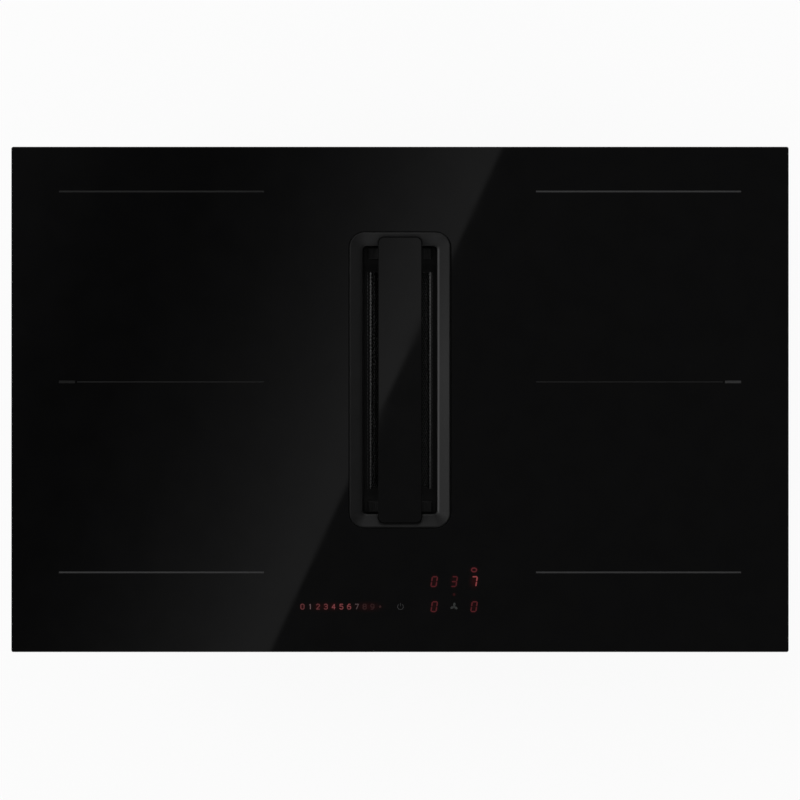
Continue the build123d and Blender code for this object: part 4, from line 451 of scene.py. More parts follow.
def filter_plastic():
    """Black moulded frame, with painted light making its two end blocks paler, the rear one more."""
    paint = Paint("filter_plastic", (0.003, 0.003, 0.0031), 0.5)
    # Painted light: the end blocks paler, the front one less so.
    ends = paint.spread(paint.from_middle(), *LIT_BLOCKS_FROM, 0.0, 1.0)
    ends = paint.times(ends, paint.spread(paint.part("Y"), *BLOCK_LIGHT_Y, 0.6, 1.0))
    paint.tint(ends, (0.0030, 0.0030, 0.0031), (0.0095, 0.0095, 0.0097))
    slanted = paint.spread(paint.facing_up(), *SLANTED, 0.95, 0.0)
    skin = paint.noise(700, 4, 0.6)
    paint.feed("Roughness", paint.maths("MAXIMUM", slanted, paint.vary(skin, 0.43, 0.60)))
    paint.bump(skin, 0.00004, 0.55)
    return paint.material


def ground_arris():
    """The ground bevel of the cover's glass."""
    paint = Paint("ground_arris", (0.0012, 0.0012, 0.0012), 0.9, Specular_IOR_Level=0.1)
    paint.bump(paint.noise(1800, 2), 0.00001, 0.3)
    return paint.material


# ---- metals
def mesh_steel(name="mesh_steel", tone=0.58, rough=0.28):
    """Stainless steel, drawn along Y and a little tinted by heat."""
    grey = (tone, tone, tone)
    paint = Paint(name, grey, rough, Metallic=1.0)
    paint.tint(paint.vary(paint.noise(90, 3), 0.0, 1.0), shade(grey, 0.9), shade(grey, 1.13))
    fine = paint.noise(1500, 2, stretch=(1, 0.1, 1))
    paint.feed("Roughness", paint.vary(fine, rough - 0.08, rough + 0.08))
    paint.bump(fine, 0.00002, 0.3)
    return paint.material


def sheet_zinc(name="sheet_zinc"):
    """Galvanised sheet: faint spangle and rolling marks."""
    paint = Paint(name, (0.52, 0.52, 0.53), 0.38, Metallic=0.9)
    spangle = paint.part("X", paint.cells(95, output="Color"))
    paint.tint(spangle, (0.468, 0.4732, 0.4888), (0.546, 0.5512, 0.5564))
    rolled = paint.noise(500, 2, stretch=(0.03, 1, 1))
    mixed = paint.plus(paint.times(spangle, 0.5), paint.times(rolled, 0.5))
    paint.feed("Roughness", paint.spread(mixed, 0.1, 0.9, 0.32, 0.46))
    paint.bump(rolled, 0.00003, 0.25)
    return paint.material


def bare_aluminium():
    """Aluminium sheet, drawn along Y."""
    paint = Paint("bare_aluminium", (0.70, 0.71, 0.72), 0.32, Metallic=1.0)
    drawn = paint.noise(700, 3, stretch=(1, 0.02, 1))
    paint.tint(paint.noise(25, 3), (0.62, 0.63, 0.64), (0.76, 0.77, 0.78))
    paint.feed("Roughness", paint.vary(drawn, 0.24, 0.42))
    paint.bump(drawn, 0.00003, 0.4)
    return paint.material


def screw_steel(name="screw_steel", colour=(0.60, 0.61, 0.62), rough=0.24):
    """Bright turned steel."""
    paint = Paint(name, colour, rough, Metallic=1.0)
    turned = paint.noise(1600, 2)
    paint.feed("Roughness", paint.vary(turned, rough - 0.06, rough + 0.12))
    paint.tint(paint.noise(300, 2), shade(colour, 0.88), shade(colour, 1.06))
    paint.bump(turned, 0.00002, 0.25)
    return paint.material


def litz_copper():
    """Enamelled strands twisted into one wire."""
    paint = Paint("litz_copper", (0.55, 0.20, 0.07), 0.30, Metallic=0.75)
    strand = paint.cells(1500)
    paint.tint(paint.noise(120, 3), (0.42, 0.14, 0.05), (0.66, 0.27, 0.10))
    paint.feed("Roughness", paint.spread(strand, 0.0, 0.6, 0.22, 0.45))
    paint.bump(strand, 0.00012, 0.5)
    return paint.material


# ---- plastics and the rest
def moulded(name, colour, rough=0.5, grain=520.0, depth=0.00006):
    """Moulded plastic with a fine eroded grain and a slightly uneven tone."""
    paint = Paint(name, colour, rough)
    skin = paint.noise(grain, 4, 0.6)
    paint.tint(paint.vary(paint.noise(14, 3), 0.0, 1.0), shade(colour, 0.88), shade(colour, 1.14))
    paint.feed("Roughness", paint.vary(skin, rough - 0.07, rough + 0.10))
    paint.bump(skin, depth, 0.55)
    return paint.material


def closed_foam():
    """Dull black foam with fine pores."""
    paint = Paint("closed_foam", (0.016, 0.016, 0.017), 0.92)
    pores = paint.cells(950)
    wall = paint.spread(pores, 0.1, 0.5, 0.0, 1.0)
    paint.tint(wall, (0.007, 0.007, 0.007), (0.024, 0.024, 0.025))
    paint.bump(pores, 0.0003, 0.8)
    return paint.material


def board_green():
    """Solder mask with faint copper tracks under it."""
    paint = Paint("board_green", (0.012, 0.085, 0.030), 0.30)
    edges = paint.cells(130, feature="DISTANCE_TO_EDGE", stretch=THROUGH)
    tracks = paint.spread(edges, 0.02, 0.07, 1.0, 0.0)
    fibres = paint.waves(600, THROUGH)
    paint.tint(tracks, (0.010, 0.075, 0.026), (0.030, 0.140, 0.052))
    paint.feed("Roughness", paint.spread(fibres, 0.0, 1.0, 0.26, 0.36))
    paint.bump(tracks, 0.00005, 0.5)
    return paint.material


def mica_sheet():
    """Pressed flakes of mica, each with its own tone."""
    paint = Paint("mica_sheet", (0.60, 0.56, 0.45), 0.45)
    flake = paint.part("Y", paint.cells(110, output="Color"))
    paint.tint(flake, (0.50, 0.46, 0.36), (0.68, 0.65, 0.54))
    paint.feed("Roughness", paint.spread(flake, 0.0, 1.0, 0.3, 0.6))
    paint.bump(flake, 0.00005, 0.4)
    return paint.material


def fired_ferrite():
    """Dark grey ceramic with small pits."""
    paint = Paint("fired_ferrite", (0.045, 0.044, 0.047), 0.62)
    pits = paint.noise(800, 4, 0.7)
    paint.tint(pits, (0.030, 0.030, 0.032), (0.062, 0.060, 0.064))
    paint.bump(pits, 0.0001, 0.6)
    return paint.material


def component_epoxy():
    """Parts on the boards: dark coils and blocks, each a little different."""
    paint = Paint("component_epoxy", (0.05, 0.05, 0.06), 0.35)
    which = paint.cells(28, output="Color", stretch=THROUGH)
    warm = paint.spread(paint.part("Z", which), 0.55, 0.60, 0.0, 1.0)
    cool = paint.mix(paint.part("X", which), (0.020, 0.020, 0.024), (0.070, 0.075, 0.085))
    paint.tint(warm, cool, (0.16, 0.10, 0.035))
    paint.bump(paint.noise(600, 3), 0.00004, 0.4)
    return paint.material


def dress(names, material):
    """One material on each of the nodes named."""
    for name in names.split():
        data = nodes[name].data
        data.materials.clear()
        data.materials.append(material)


def dress_nodes():
    """Every CAD node gets its material."""
    dress("glass_top", black_glass("black_glass", lit=True))
    dress("zone_lines", zone_print())
    dress("display_digits", lit_display())
    dress("slider_digits", lit_slider())
    dress("key_symbols", key_print())
    dress("intake_rim", rim_metal())
    dress("cover_carrier", moulded("carrier_coat", (0.012, 0.012, 0.0125), 0.42, 1500, 0.00002))
    dress("cover_pads rim_gasket", moulded("silicone_pad", (0.03, 0.03, 0.031), 0.7, 300))
    dress("filter_frame", filter_plastic())
    dress("intake_duct fan_rotor_left fan_rotor_right impeller coil_formers",
          moulded("duct_plastic", (0.012, 0.012, 0.0125), 0.48))
    dress("scroll_upper scroll_lower outlet_duct fan_case_left fan_case_right",
          moulded("blower_plastic", (0.020, 0.020, 0.021), 0.46, 420, 0.00008))
    dress("terminal_cover driver_box cable_gland",
          moulded("box_plastic", (0.030, 0.030, 0.032), 0.42, 600, 0.00005))
    dress("plenum_lid plenum_tub", moulded("plenum_plastic", (0.115, 0.118, 0.122), 0.5, 260, 0.0001))
    dress("liquid_container", moulded("container_plastic", (0.10, 0.105, 0.11), 0.4, 380))
    dress("drip_channel filter_mesh_left filter_mesh_right", mesh_steel())
    dress("base_tray clamp_front_left clamp_front_right clamp_rear_left clamp_rear_right"
          " motor_bracket motor_can", sheet_zinc())
    dress("coil_support_left coil_support_right heat_sink_left heat_sink_right", bare_aluminium())
    dress("case_screws", screw_steel())
    dress("motor_shaft motor_bearings", screw_steel("bearing_steel", (0.70, 0.71, 0.73), 0.16))
    dress("coil_front_left coil_front_right coil_rear_left coil_rear_right touch_pads", litz_copper())
    dress("coil_ferrites", fired_ferrite())
    dress("coil_insulation", mica_sheet())
    dress("coil_sensors control_bracket", moulded("white_nylon", (0.62, 0.62, 0.60), 0.45))
    dress("power_board_left power_board_right control_board", board_green())
    dress("electrical_parts display_modules", component_epoxy())
    dress("worktop_seal", closed_foam())
    dress("fan_cable", moulded("lead_jacket", (0.014, 0.014, 0.0145), 0.55, 900, 0.00003))


# ---- building meshes
SCREW_SIDES = 20
CROSS_WAIST = 0.34              # a cross recess between its arms, as a share of its reach


def circle(sides):
    """The angles of a regular ring."""
    return [2 * math.pi * i / sides for i in range(sides)]


def rounded_ring(low, high, radius, z, grown=0.0, steps=6):
    """A rectangle with round corners at a height."""
    ring = []
    for corner in range(4):
        x = (high.x - radius, low.x + radius, low.x + radius, high.x - radius)[corner]
        y = (high.y - radius, high.y - radius, low.y + radius, low.y + radius)[corner]
        reach = radius + grown
        for step in range(steps + 1):
            angle = math.pi / 2 * (corner + step / steps)
            ring.append(Vector((x + reach * math.cos(angle), y + reach * math.sin(angle), z)))
    return ring


class Form:
    """Points and faces gathered into one piece, in row-frame metres."""

    def __init__(self):
        self.points = []
        self.faces = []

    def skin(self, rings, closed=False):
        """A skin over rings that have equally many points, capped unless it closes on itself."""
        first = len(self.points)
        sides = len(rings[0])
        for ring in rings:
            self.points.extend(tuple(point) for point in ring)
        spans = len(rings) if closed else len(rings) - 1
        for i in range(spans):
            a = first + i * sides
            b = first + (i + 1) % len(rings) * sides
            for j in range(sides):
                k = (j + 1) % sides
                self.faces.append((a + j, a + k, b + k, b + j))
        if not closed:
            last = first + (len(rings) - 1) * sides
            self.faces.append(tuple(range(first + sides - 1, first - 1, -1)))
            self.faces.append(tuple(range(last, last + sides)))

    def strip(self, line, across, half_w, half_t):
        """A flat wire of rectangular section along a line of points."""
        rings = []
        rise = across * half_t
        for i, point in enumerate(line):
            side = heading(line, i).cross(across).normalized() * half_w
            rings.append([point - side - rise, point + side - rise,
                          point + side + rise, point - side + rise])
        self.skin(rings)

    def patch(self, rows):
        """An open sheet over rows of points."""
        first = len(self.points)
        width = len(rows[0])
        for row in rows:
            self.points.extend(tuple(point) for point in row)
        for i in range(len(rows) - 1):
            for j in range(width - 1):
                a = first + i * width + j
                self.faces.append((a, a + 1, a + width + 1, a + width))

    def screw_head(self, centre, axis, profile, cross_from):
        """A turned head: (radius, height) points about an axis, with a cross from one of them on."""
        turn = Vector(axis).to_track_quat("Z", "Y").to_matrix()
        quarter = SCREW_SIDES // 4
        rings = []
        for index, (radius, height) in enumerate(profile):
            ring = []
            for i, angle in enumerate(circle(SCREW_SIDES)):
                on_arm = i % quarter in (0, 1, quarter - 1)
                reach = radius * (CROSS_WAIST if index >= cross_from and not on_arm else 1.0)
                point = Vector((reach * math.cos(angle), reach * math.sin(angle), height))
                ring.append(Vector(centre) + turn @ point)
            rings.append(ring)
        self.skin(rings)

    def piece(self, name, body, material, replaces=(), smooth_under=40.0):
        """One object that rides on a body, with edges kept sharp from an angle on."""
        mesh = bpy.data.meshes.new(name)
        mesh.from_pydata(self.points, [], self.faces)
        shaped = bmesh.new()
        shaped.from_mesh(mesh)
        bmesh.ops.recalc_face_normals(shaped, faces=shaped.faces)
        limit = math.radians(smooth_under)
        for face in shaped.faces:
            face.smooth = True
        for edge in shaped.edges:
            edge.smooth = len(edge.link_faces) == 2 and edge.calc_face_angle(0.0) < limit
        shaped.to_mesh(mesh)
        shaped.free()
        mesh.materials.append(material)
        made = bpy.data.objects.new(name, mesh)
        scene.collection.objects.link(made)
        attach(made, body)
        for node in replaces:
            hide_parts(node)
        return made


def heading(line, i):
    """The direction of a line of points at one of them."""
    return (line[min(i + 1, len(line) - 1)] - line[max(i - 1, 0)]).normalized()


# ---- coils: one litz wire each, wound in a flat spiral
WIRE_R = 0.0016
WIRE_Z = -0.0011
TURN_PITCH = 0.004
TURNS = 15
INNER_R = 0.027
STRANDS = 6
TWIST_PITCH = 0.018
WIRE_STEP = 0.003
GROOVE = 0.82                   # the wire's radius between two strands, as a share of the full one
COIL_X = 0.2455
COIL_Y = {"rear": 0.116, "front": -0.080}


def coil_winding(name, x, y, material):
    """Half turns about two centres, as the solid is wound, with the strands' twist in its skin."""
    rings = []
    travelled = 0.0
    for half_turn in range(2 * TURNS):
        odd = half_turn % 2
        centre = Vector((x + (1 if odd else -1) * TURN_PITCH / 4, y, WIRE_Z))
        radius = INNER_R + WIRE_R + half_turn * TURN_PITCH / 2
        steps = round(math.pi * radius / WIRE_STEP)
        for step in range(steps):
            angle = math.pi * (odd + step / steps)
            outward = Vector((math.cos(angle), math.sin(angle), 0))
            twist = 2 * math.pi * travelled / TWIST_PITCH
            ring = []
            for i in range(2 * STRANDS):
                around = math.pi * i / STRANDS + twist
                reach = WIRE_R * (GROOVE if i % 2 else 1.0)
                side = outward * (radius + reach * math.cos(around))
                ring.append(centre + side + Vector((0, 0, reach * math.sin(around))))
            rings.append(ring)
            travelled += math.pi * radius / steps
    form = Form()
    form.skin(rings)
    form.piece(f"{name}_litz", "root", material, [name], smooth_under=75)


def wind_coils(material):
    """The four coils, two behind and two in front."""
    for row, y in COIL_Y.items():
        for side, x in (("left", -COIL_X), ("right", COIL_X)):
            coil_winding(f"coil_{row}_{side}", x, y, material)


# ---- filter: two layers of expanded metal on each side, crimped into a beaded hem
MESH_FROM, MESH_TO = reach_of("filter_mesh_right", "y")
MESH_TOP = (0.0290, -0.0170)    # x and z of the right-hand panel's upper edge
MESH_LOW = (0.0090, -0.0820)
CELL_L = 0.0049
CELL_H = 0.0034
LAYERS = ((-0.5, 0.0), (0.5, 0.5))      # each layer's place in the gap, and its shift in cells
LAYER_GAP = 0.0009
STRAND_W = 0.00032
STRAND_T = 0.00016
STRAND_SWING = 0.46             # up and down, as a share of a cell's height
STRAND_LEAN = 0.00018           # in and out of its layer
ZIGZAG = (1, 1, -1, -1)         # which way a strand has swung, at each quarter of a cell
HEM_FROM = MESH_FROM - 0.001
HEM_TO = MESH_TO
BEAD_L = 0.00381
BEAD_STEPS = 8
WIRE_SIDES = 8
BEADED = {
    # x on the left and right, z, radius, swell, tone (painted shade: darker copies of one steel for
    # the crimp and the outer row), swell's place
    "hem": ((-0.0304, 0.0312), -0.0161, 0.00062, 0.00052, 0.26, 0.0),
    "crimp": ((-0.0270, 0.0272), -0.0236, 0.00010, 0.00075, 0.17, 0.5),
    "bead": ((-0.0336, 0.0330), -0.0172, 0.00010, 0.00055, 0.11, 0.5),
}


def beaded_wires():
    """Wires along Y that swell into beads: the hem, the crimp under it and a fine outer row."""
    steps = round((HEM_TO - HEM_FROM) / BEAD_L) * BEAD_STEPS
    for row, (places, z, radius, swell, tone, shift) in BEADED.items():
        form = Form()
        for x in places:
            rings = []
            for i in range(steps + 1):
                y = HEM_FROM + (HEM_TO - HEM_FROM) * i / steps
                reach = radius + swell * math.sin(math.pi * (i / BEAD_STEPS + shift)) ** 2
                rings.append([Vector((x + reach * math.cos(a), y, z + reach * math.sin(a)))
                              for a in circle(WIRE_SIDES)])
            form.skin(rings)
        # Each row gets its own copy of the hem's steel, darkened as painted shade.
        form.piece(f"filter_{row}_wires", "filter", hem_steel(f"{row}_steel", tone))


def mesh_panel(name, side, material):
    """Zigzag strands in two layers, from the panel's upper edge down."""
    top = Vector((side * MESH_TOP[0], 0, MESH_TOP[1]))
    down = Vector((side * MESH_LOW[0], 0, MESH_LOW[1])) - top
    rows = int(down.length / CELL_H)
    down.normalize()
    out = down.cross(Vector((0, side, 0))).normalized()
    quarters = len(ZIGZAG) * round((MESH_TO - MESH_FROM) / CELL_L)
    form = Form()
    for layer, shift in LAYERS:
        for row in range(rows):
            line = []
            for i in range(quarters + 1):
                swing = ZIGZAG[i % len(ZIGZAG)] * (-1) ** row
                y = MESH_FROM + ((i - 0.5) / len(ZIGZAG) + shift) * CELL_L
                y = min(max(y, MESH_FROM), MESH_TO)
                reach = (row + 0.5 + STRAND_SWING * swing) * CELL_H
                wave = out * (LAYER_GAP * layer + STRAND_LEAN * swing)
                line.append(top + down * reach + wave + Vector((0, y, 0)))
            form.strip(line, out, STRAND_W, STRAND_T)
    form.piece(f"{name}_weave", "filter", material, [name])


# ---- grip ribs on the filter's end blocks
RIB_X = (0.0254, 0.0278, 0.0312)
RIB_W = 0.0007
BLOCK_TOP = reach_of("filter_frame", "z")[1]
BLOCK_FROM = 0.1262             # along Y from the middle
BLOCK_TO = 0.1362
LIP_X = 0.0280
LIP_GAP = 0.0006                # from the block to a lip's middle
LIP_HALF = (0.0044, 0.0004)
RIB_SECTION = ((0.0, -0.0001), (0.0, 0.00024), (0.00015, 0.0004))       # inset and height


def ribbed_blocks(material):
    """Three fine ribs at each side of both end blocks, and two lips before the rear block."""
    form = Form()

    def bar(x, y, half_x, half_y):
        """A low bar with bevelled upper edges."""
        rings = []
        for inset, z in RIB_SECTION:
            rings.append([Vector((x + i * (half_x - inset), y + j * (half_y - inset), BLOCK_TOP + z))
                          for i, j in ((-1, -1), (1, -1), (1, 1), (-1, 1))])
        form.skin(rings)

    for end in (-1, 1):
        middle = MIDDLE_Y + end * (BLOCK_FROM + BLOCK_TO) / 2
        for side in (-1, 1):
            for x in RIB_X:
                bar(side * x, middle, RIB_W / 2, (BLOCK_TO - BLOCK_FROM) / 2)
    for side in (-1, 1):
        bar(side * LIP_X, MIDDLE_Y + BLOCK_FROM - LIP_GAP, *LIP_HALF)
    form.piece("filter_grip_ribs", "filter", material)


# ---- the cover's glass
COVER_CORNER = 0.006
ARRIS_W = 0.0007
ARRIS_H = 0.0006
FLAT = 0.99                     # a face is flat on top or underneath from this normal's Z on


def cover_pane():
    """A flat pane with round corners; its arris and its edge are ground dull."""
    low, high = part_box("cover_glass")
    section = ((ARRIS_H, low.z), (0.0, low.z + ARRIS_H), (0.0, high.z - ARRIS_H), (ARRIS_W, high.z))
    form = Form()
    form.skin([rounded_ring(low, high, COVER_CORNER, z, -inset, steps=8) for inset, z in section])
    glass = black_glass("cover_black_glass", ior=1.56)
    pane = form.piece("cover_pane", "cover", glass, ["cover_glass"], smooth_under=30)
    pane.data.materials.append(ground_arris())
    for face in pane.data.polygons:
        if abs(face.normal.z) < FLAT:
            face.material_index = 1


# ---- the blower's lead, from the driver box into the plenum's side
LEAD_START = (-0.125, -0.060, -0.070)
LEAD_END = (-0.095, -0.085, -0.070)
LEAD_BEND = 0.020
LEAD_R = 0.0025
LEAD_SIDES = 16
LEAD_STEPS = (8, 24, 12)        # before the bend, in it and after it
LEAD_FINE = 3                   # each step is cut in this many, for the boots' ribs
BOOT_L = 0.009
BOOT_R = 0.0042
BOOT_RIBS = 4
BOOT_RIB_DEPTH = 0.10           # as a share of the boot's radius


def lead_line():
    """Points along the lead: straight, round the bend and straight again."""
    start = Vector(LEAD_START)
    end = Vector(LEAD_END)
    corner = Vector((start.x, end.y, start.z))
    bend_from = corner + Vector((0, LEAD_BEND, 0))
    bend_to = corner + Vector((LEAD_BEND, 0, 0))
    middle = corner + Vector((LEAD_BEND, LEAD_BEND, 0))
    before, within, after = LEAD_STEPS
    line = [start.lerp(bend_from, i / before) for i in range(before)]
    line += [middle + LEAD_BEND * Vector((-math.cos(a), -math.sin(a), 0))
             for a in (math.pi / 2 * i / within for i in range(within + 1))]
    return line + [bend_to.lerp(end, i / after) for i in range(1, after + 1)]


def boot_radius(travelled):
    """A boot's outline: a collar, ribs that shrink, then the bare lead."""
    if travelled > BOOT_L:
        return LEAD_R
    share = travelled / BOOT_L
    taper = BOOT_R + (LEAD_R - BOOT_R) * share
    return taper * (1.0 + BOOT_RIB_DEPTH * math.cos(2 * math.pi * BOOT_RIBS * share))


def blower_lead(material):
    """The lead with a ribbed boot at each end."""
    line = lead_line()
    fine = []
    for a, b in zip(line, line[1:]):
        fine += [a.lerp(b, i / LEAD_FINE) for i in range(LEAD_FINE)]
    fine.append(line[-1])
    travelled = [0.0]
    for a, b in zip(fine, fine[1:]):
        travelled.append(travelled[-1] + (b - a).length)
    up = Vector((0, 0, 1))
    rings = []
    for i, point in enumerate(fine):
        side = heading(fine, i).cross(up).normalized()
        radius = max(boot_radius(travelled[i]), boot_radius(travelled[-1] - travelled[i]))
        rings.append([point + radius * (side * math.cos(a) + up * math.sin(a))
                      for a in circle(LEAD_SIDES)])
    form = Form()
    form.skin(rings)
    form.piece("blower_lead", "root", material, ["fan_cable"])


# ---- pressed details on the tray
LOUVRES = 8
LOUVRE_PITCH = 0.036
LOUVRE_L = 0.026
LOUVRE_TOP = -0.014
LOUVRE_H = 0.004
HOOD_REACH = 0.0026
HOOD_SHEET = 0.0008
HOOD_OFF_WALL = 0.00005
HOOD_LAP_L = 0.0015             # past each end of its slot
HOOD_LAP_H = 0.0012             # over the slot's upper edge
HOOD_STEPS_L = 16
HOOD_STEPS_H = 6
HOOD_FULLNESS = 3.2             # the bulge's outline along the slot, as two powers
HOOD_ROUNDNESS = 0.6
HOOD_END_DROP = 0.25            # its height at its ends, as a share of that in the middle


def hood_rows(side, wall, middle):
    """Rows of points over one hood, from its front end to its back end."""
    rows = []
    for j in range(HOOD_STEPS_L + 1):
        share = 2 * j / HOOD_STEPS_L - 1
        bulge = (1 - abs(share) ** HOOD_FULLNESS) ** HOOD_ROUNDNESS
        y = middle + share * (LOUVRE_L / 2 + HOOD_LAP_L)
        height = (LOUVRE_H + HOOD_LAP_H) * (HOOD_END_DROP + (1 - HOOD_END_DROP) * bulge)
        row = []
        for k in range(HOOD_STEPS_H + 1):
            turn = math.pi / 2 * k / HOOD_STEPS_H
            out = HOOD_OFF_WALL + HOOD_REACH * bulge * math.sin(turn)
            z = LOUVRE_TOP + HOOD_LAP_H - height * (1 - math.cos(turn))
            row.append(Vector((wall + side * out, y, z)))
        rows.append(row)
    return rows


def louvre_hoods(material):
    """A pressed hood over each slot in the tray's side walls, open along its lower edge."""
    low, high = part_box("base_tray")
    form = Form()
    for side, wall in ((-1, low.x), (1, high.x)):
        for i in range(LOUVRES):
            form.patch(hood_rows(side, wall, (i - (LOUVRES - 1) / 2) * LOUVRE_PITCH))
    hoods = form.piece("louvre_hoods", "root", material, smooth_under=60)
    sheet = hoods.modifiers.new("sheet", "SOLIDIFY")
    sheet.thickness = HOOD_SHEET
    sheet.offset = -1.0


# ---- lids and screws of the two boxes under the tray
LID_H = 0.0045
LID_CORNER = 0.0045
LID_SECTION = (
    # out from the box's wall, up from the lid's edge
    (-0.0004, 0.0), (0.0006, 0.0), (0.0006, -0.0010), (-0.0004, -0.0016),
)
LID_SCREW_INSET = 0.009
LID_SCREW_R = 0.0028
SCREW_HEAD = (
    # share of the radius, height over the lid: the brim, the dome, then the recess
    (0.85, -0.0003), (1.0, 0.0), (1.0, 0.0005), (0.82, 0.0012), (0.56, 0.0014),
    (0.5, 0.0014), (0.42, 0.0006),
)
RECESS_FROM = 5                 # the first point of the recess


def box_lids(material, screw_material):
    """A lid's rim round the foot of each box, and two pan-head screws with cross recesses in it."""
    rims = Form()
    screws = Form()
    head = [(LID_SCREW_R * share, height) for share, height in SCREW_HEAD]
    for node in ("driver_box", "terminal_cover"):
        low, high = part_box(node)
        rims.skin([rounded_ring(low, high, LID_CORNER, low.z + LID_H + z, grown)
                   for grown, z in LID_SECTION], closed=True)
        for corner, inset in ((low, LID_SCREW_INSET), (high, -LID_SCREW_INSET)):
            place = (corner.x + inset, corner.y + inset, low.z)
            screws.screw_head(place, (0, 0, -1), head, RECESS_FROM)
    rims.piece("box_lid_rims", "root", material)
    screws.piece("box_lid_screws", "root", screw_material)


def add_pieces():
    """Every piece that the CAD leaves out or that stands for a CAD node."""
    wind_coils(litz_copper())
    # Painted shade: the weave down in the slot is a darker copy of the drip channel's stainless steel.
    shaded_weave = mesh_steel("shaded_woven_steel", 0.26, 0.4)
    mesh_panel("filter_mesh_left", -1, shaded_weave)
    mesh_panel("filter_mesh_right", 1, shaded_weave)
    beaded_wires()
    # Painted highlight: the ribs and lips are a paler copy of the frame's black plastic.
    ribbed_blocks(moulded("rib_highlight_plastic", (0.016, 0.016, 0.0162), 0.45, 900, 0.00003))
    cover_pane()
    blower_lead(moulded("lead_rubber", (0.014, 0.014, 0.0145), 0.55, 900, 0.00003))
    louvre_hoods(sheet_zinc("hood_zinc"))
    box_lids(moulded("lid_plastic", (0.030, 0.030, 0.032), 0.42, 600, 0.00005),
             screw_steel("lid_screw"))


# ---- studio
CARD_HEIGHT = 3.0
CARD_X = (-3.2, 6.0)
CARD_Y = 6.0
PANEL_EDGE_PX = ((505, 147), (273, 651))        # on the mirrored panel's edge in the photograph
RAMP_METRE = 0.5                # how much of the ramp a metre takes
RAMP_EDGE = 0.5                 # where the panel's edge is on it
CEILING_LIGHT = [
    # place on the ramp, brightness
    (0.0, 0.062), (0.500, 0.062), (0.5012, 0.240), (0.52, 0.225), (0.565, 0.145), (0.60, 0.100),
    (0.65, 0.057), (0.72, 0.027), (0.77, 0.027), (0.88, 0.060), (1.0, 0.068),
]
FLOOR_REACH = 30.0
FLOOR_GAP = 0.0002
FLOOR_GREY = 0.86
FLOOR_EVENNESS = 0.92           # share of flat white in what the camera sees of the floor
SKY_LIGHT = 0.5
LAMPS = {
    # place, width and height, power, whether reflections show it
    "key": ((-2.4, 0.5, 1.7), (1.6, 1.2), 25, True),
    "fill": ((2.2, -1.8, 1.5), (1.4, 1.4), 12, False),      # it would leave a hard patch on the glass
    "back": ((0.3, 2.6, 1.4), (1.8, 0.8), 16, True),
}


def bare_tree(owner):
    """The emptied node tree of a material or a world."""
    owner.use_nodes = True
    owner.node_tree.nodes.clear()
    return owner.node_tree


def stage_sheet(name, corners, z, material):
    """A flat sheet of the studio, at a height."""
    mesh = bpy.data.meshes.new(name)
    mesh.from_pydata([(x, y, 0) for x, y in corners], [], [(0, 1, 2, 3)])
    mesh.materials.append(material)
    sheet = bpy.data.objects.new(name, mesh)
    sheet.location = (0, 0, z)
    scene.collection.objects.link(sheet)
    return sheet


def ceiling_light():
    """Light by the distance across the panel's edge, which lies where the photograph mirrors it."""
    material = bpy.data.materials.new("ceiling_light")
    tree = bare_tree(material)
    top, low = (Vector(((x - MIDDLE_PX[0]) * PIXEL, (MIDDLE_PX[1] - y) * PIXEL, 0))
                for x, y in PANEL_EDGE_PX)
    along = (top - low).normalized()
    across = Vector((-along.y, along.x, 0))
    # The mirrored rays go on from the glass to the card, so the edge is larger there.
    growth = (GLASS_TOP + CAMERA_DISTANCE + CARD_HEIGHT) / CAMERA_DISTANCE
    edge = across.dot(top) * growth
    place = add_node(tree, "TexCoord", {}).outputs["Object"]
    dot = add_node(tree, "VectorMath", {0: place, 1: across}, operation="DOT_PRODUCT")
    value = add_node(tree, "Math", {0: dot.outputs["Value"], 1: edge}, operation="SUBTRACT")
    value = add_node(tree, "Math", {0: value.outputs[0], 1: RAMP_METRE}, operation="MULTIPLY")
    value = add_node(tree, "Math", {0: value.outputs[0], 1: RAMP_EDGE}, operation="ADD")
    ramp = add_node(tree, "ValToRGB", {0: value.outputs[0]})
    stops = ramp.color_ramp.elements
    first, *between, last = CEILING_LIGHT       # a new ramp has its first and last stop already
    for stop, (_, light) in zip(stops, (first, last)):
        stop.color = (light, light, light, 1)
    for position, light in between:
        stops.new(position).color = (light, light, light, 1)
    emission = add_node(tree, "Emission", {"Color": ramp.outputs[0], "Strength": 1.0})
    add_node(tree, "OutputMaterial", {"Surface": emission.outputs[0]})
    return material


def ceiling_card():
    """A dark studio ceiling for reflections alone, with a soft panel cut off on a slant."""
    left, right = CARD_X
    corners = ((left, -CARD_Y), (left, CARD_Y), (right, CARD_Y), (right, -CARD_Y))
    card = stage_sheet("ceiling_card", corners, CARD_HEIGHT, ceiling_light())
    card.visible_camera = False
    card.visible_diffuse = False
    card.visible_transmission = False
    card.visible_shadow = False


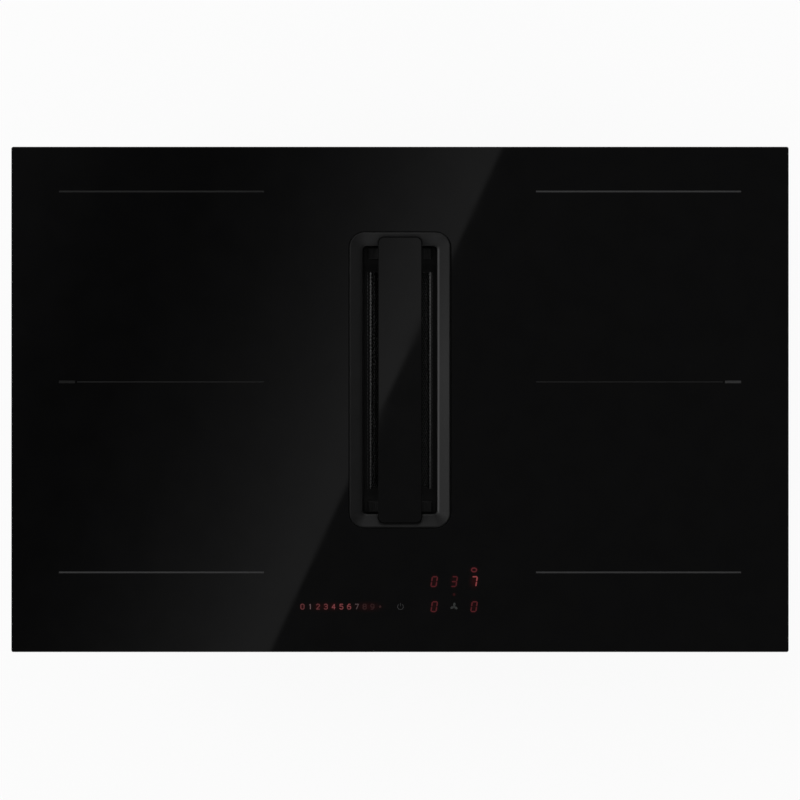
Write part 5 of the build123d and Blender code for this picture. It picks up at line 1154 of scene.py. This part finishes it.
def pale_floor():
    """Pale grey as a light, and nearly flat white to the camera and in reflections."""
    material = bpy.data.materials.new("pale_floor")
    tree = bare_tree(material)
    diffuse = add_node(tree, "BsdfDiffuse", {"Color": (FLOOR_GREY, FLOOR_GREY, FLOOR_GREY, 1)})
    bright = add_node(tree, "Emission", {"Color": (1, 1, 1, 1)})
    rays = add_node(tree, "LightPath", {}).outputs
    seen = {0: rays["Is Camera Ray"], 1: rays["Is Glossy Ray"]}
    either = add_node(tree, "Math", seen, operation="MAXIMUM")
    share = add_node(tree, "Math", {0: either.outputs[0], 1: FLOOR_EVENNESS}, operation="MULTIPLY")
    shaders = {0: share.outputs[0], 1: diffuse.outputs[0], 2: bright.outputs[0]}
    add_node(tree, "OutputMaterial", {"Surface": add_node(tree, "MixShader", shaders).outputs[0]})
    return material


def studio_floor():
    """A plain floor at the foot of the object."""
    reach = FLOOR_REACH
    corners = ((-reach, -reach), (reach, -reach), (reach, reach), (-reach, reach))
    stage_sheet("studio_floor", corners, cad_low.z - FLOOR_GAP, pale_floor())


def studio_world():
    """White to the camera, in reflections and through glass, and half as bright as a light."""
    scene.world = bpy.data.worlds.new("studio")
    tree = bare_tree(scene.world)
    white = add_node(tree, "Background", {"Color": (1, 1, 1, 1), "Strength": 1.0})
    soft = add_node(tree, "Background", {"Color": (1, 1, 1, 1), "Strength": SKY_LIGHT})
    rays = add_node(tree, "LightPath", {}).outputs
    seen = rays["Is Camera Ray"]
    for kind in ("Is Glossy Ray", "Is Transmission Ray"):
        seen = add_node(tree, "Math", {0: seen, 1: rays[kind]}, operation="MAXIMUM").outputs[0]
    shaders = {0: seen, 1: soft.outputs[0], 2: white.outputs[0]}
    add_node(tree, "OutputWorld", {"Surface": add_node(tree, "MixShader", shaders).outputs[0]})


def light_studio():
    """Soft lamps that face the object."""
    for name, (place, (width, height), power, in_reflections) in LAMPS.items():
        data = bpy.data.lights.new(name, "AREA")
        data.shape = "RECTANGLE"
        data.size = width
        data.size_y = height
        data.energy = power
        lamp = bpy.data.objects.new(name, data)
        lamp.location = place
        lamp.rotation_euler = (-Vector(place)).to_track_quat("-Z", "Y").to_euler()
        lamp.visible_glossy = in_reflections
        scene.collection.objects.link(lamp)


add_camera()
dress_nodes()
add_pieces()
studio_world()
studio_floor()
ceiling_card()
light_studio()
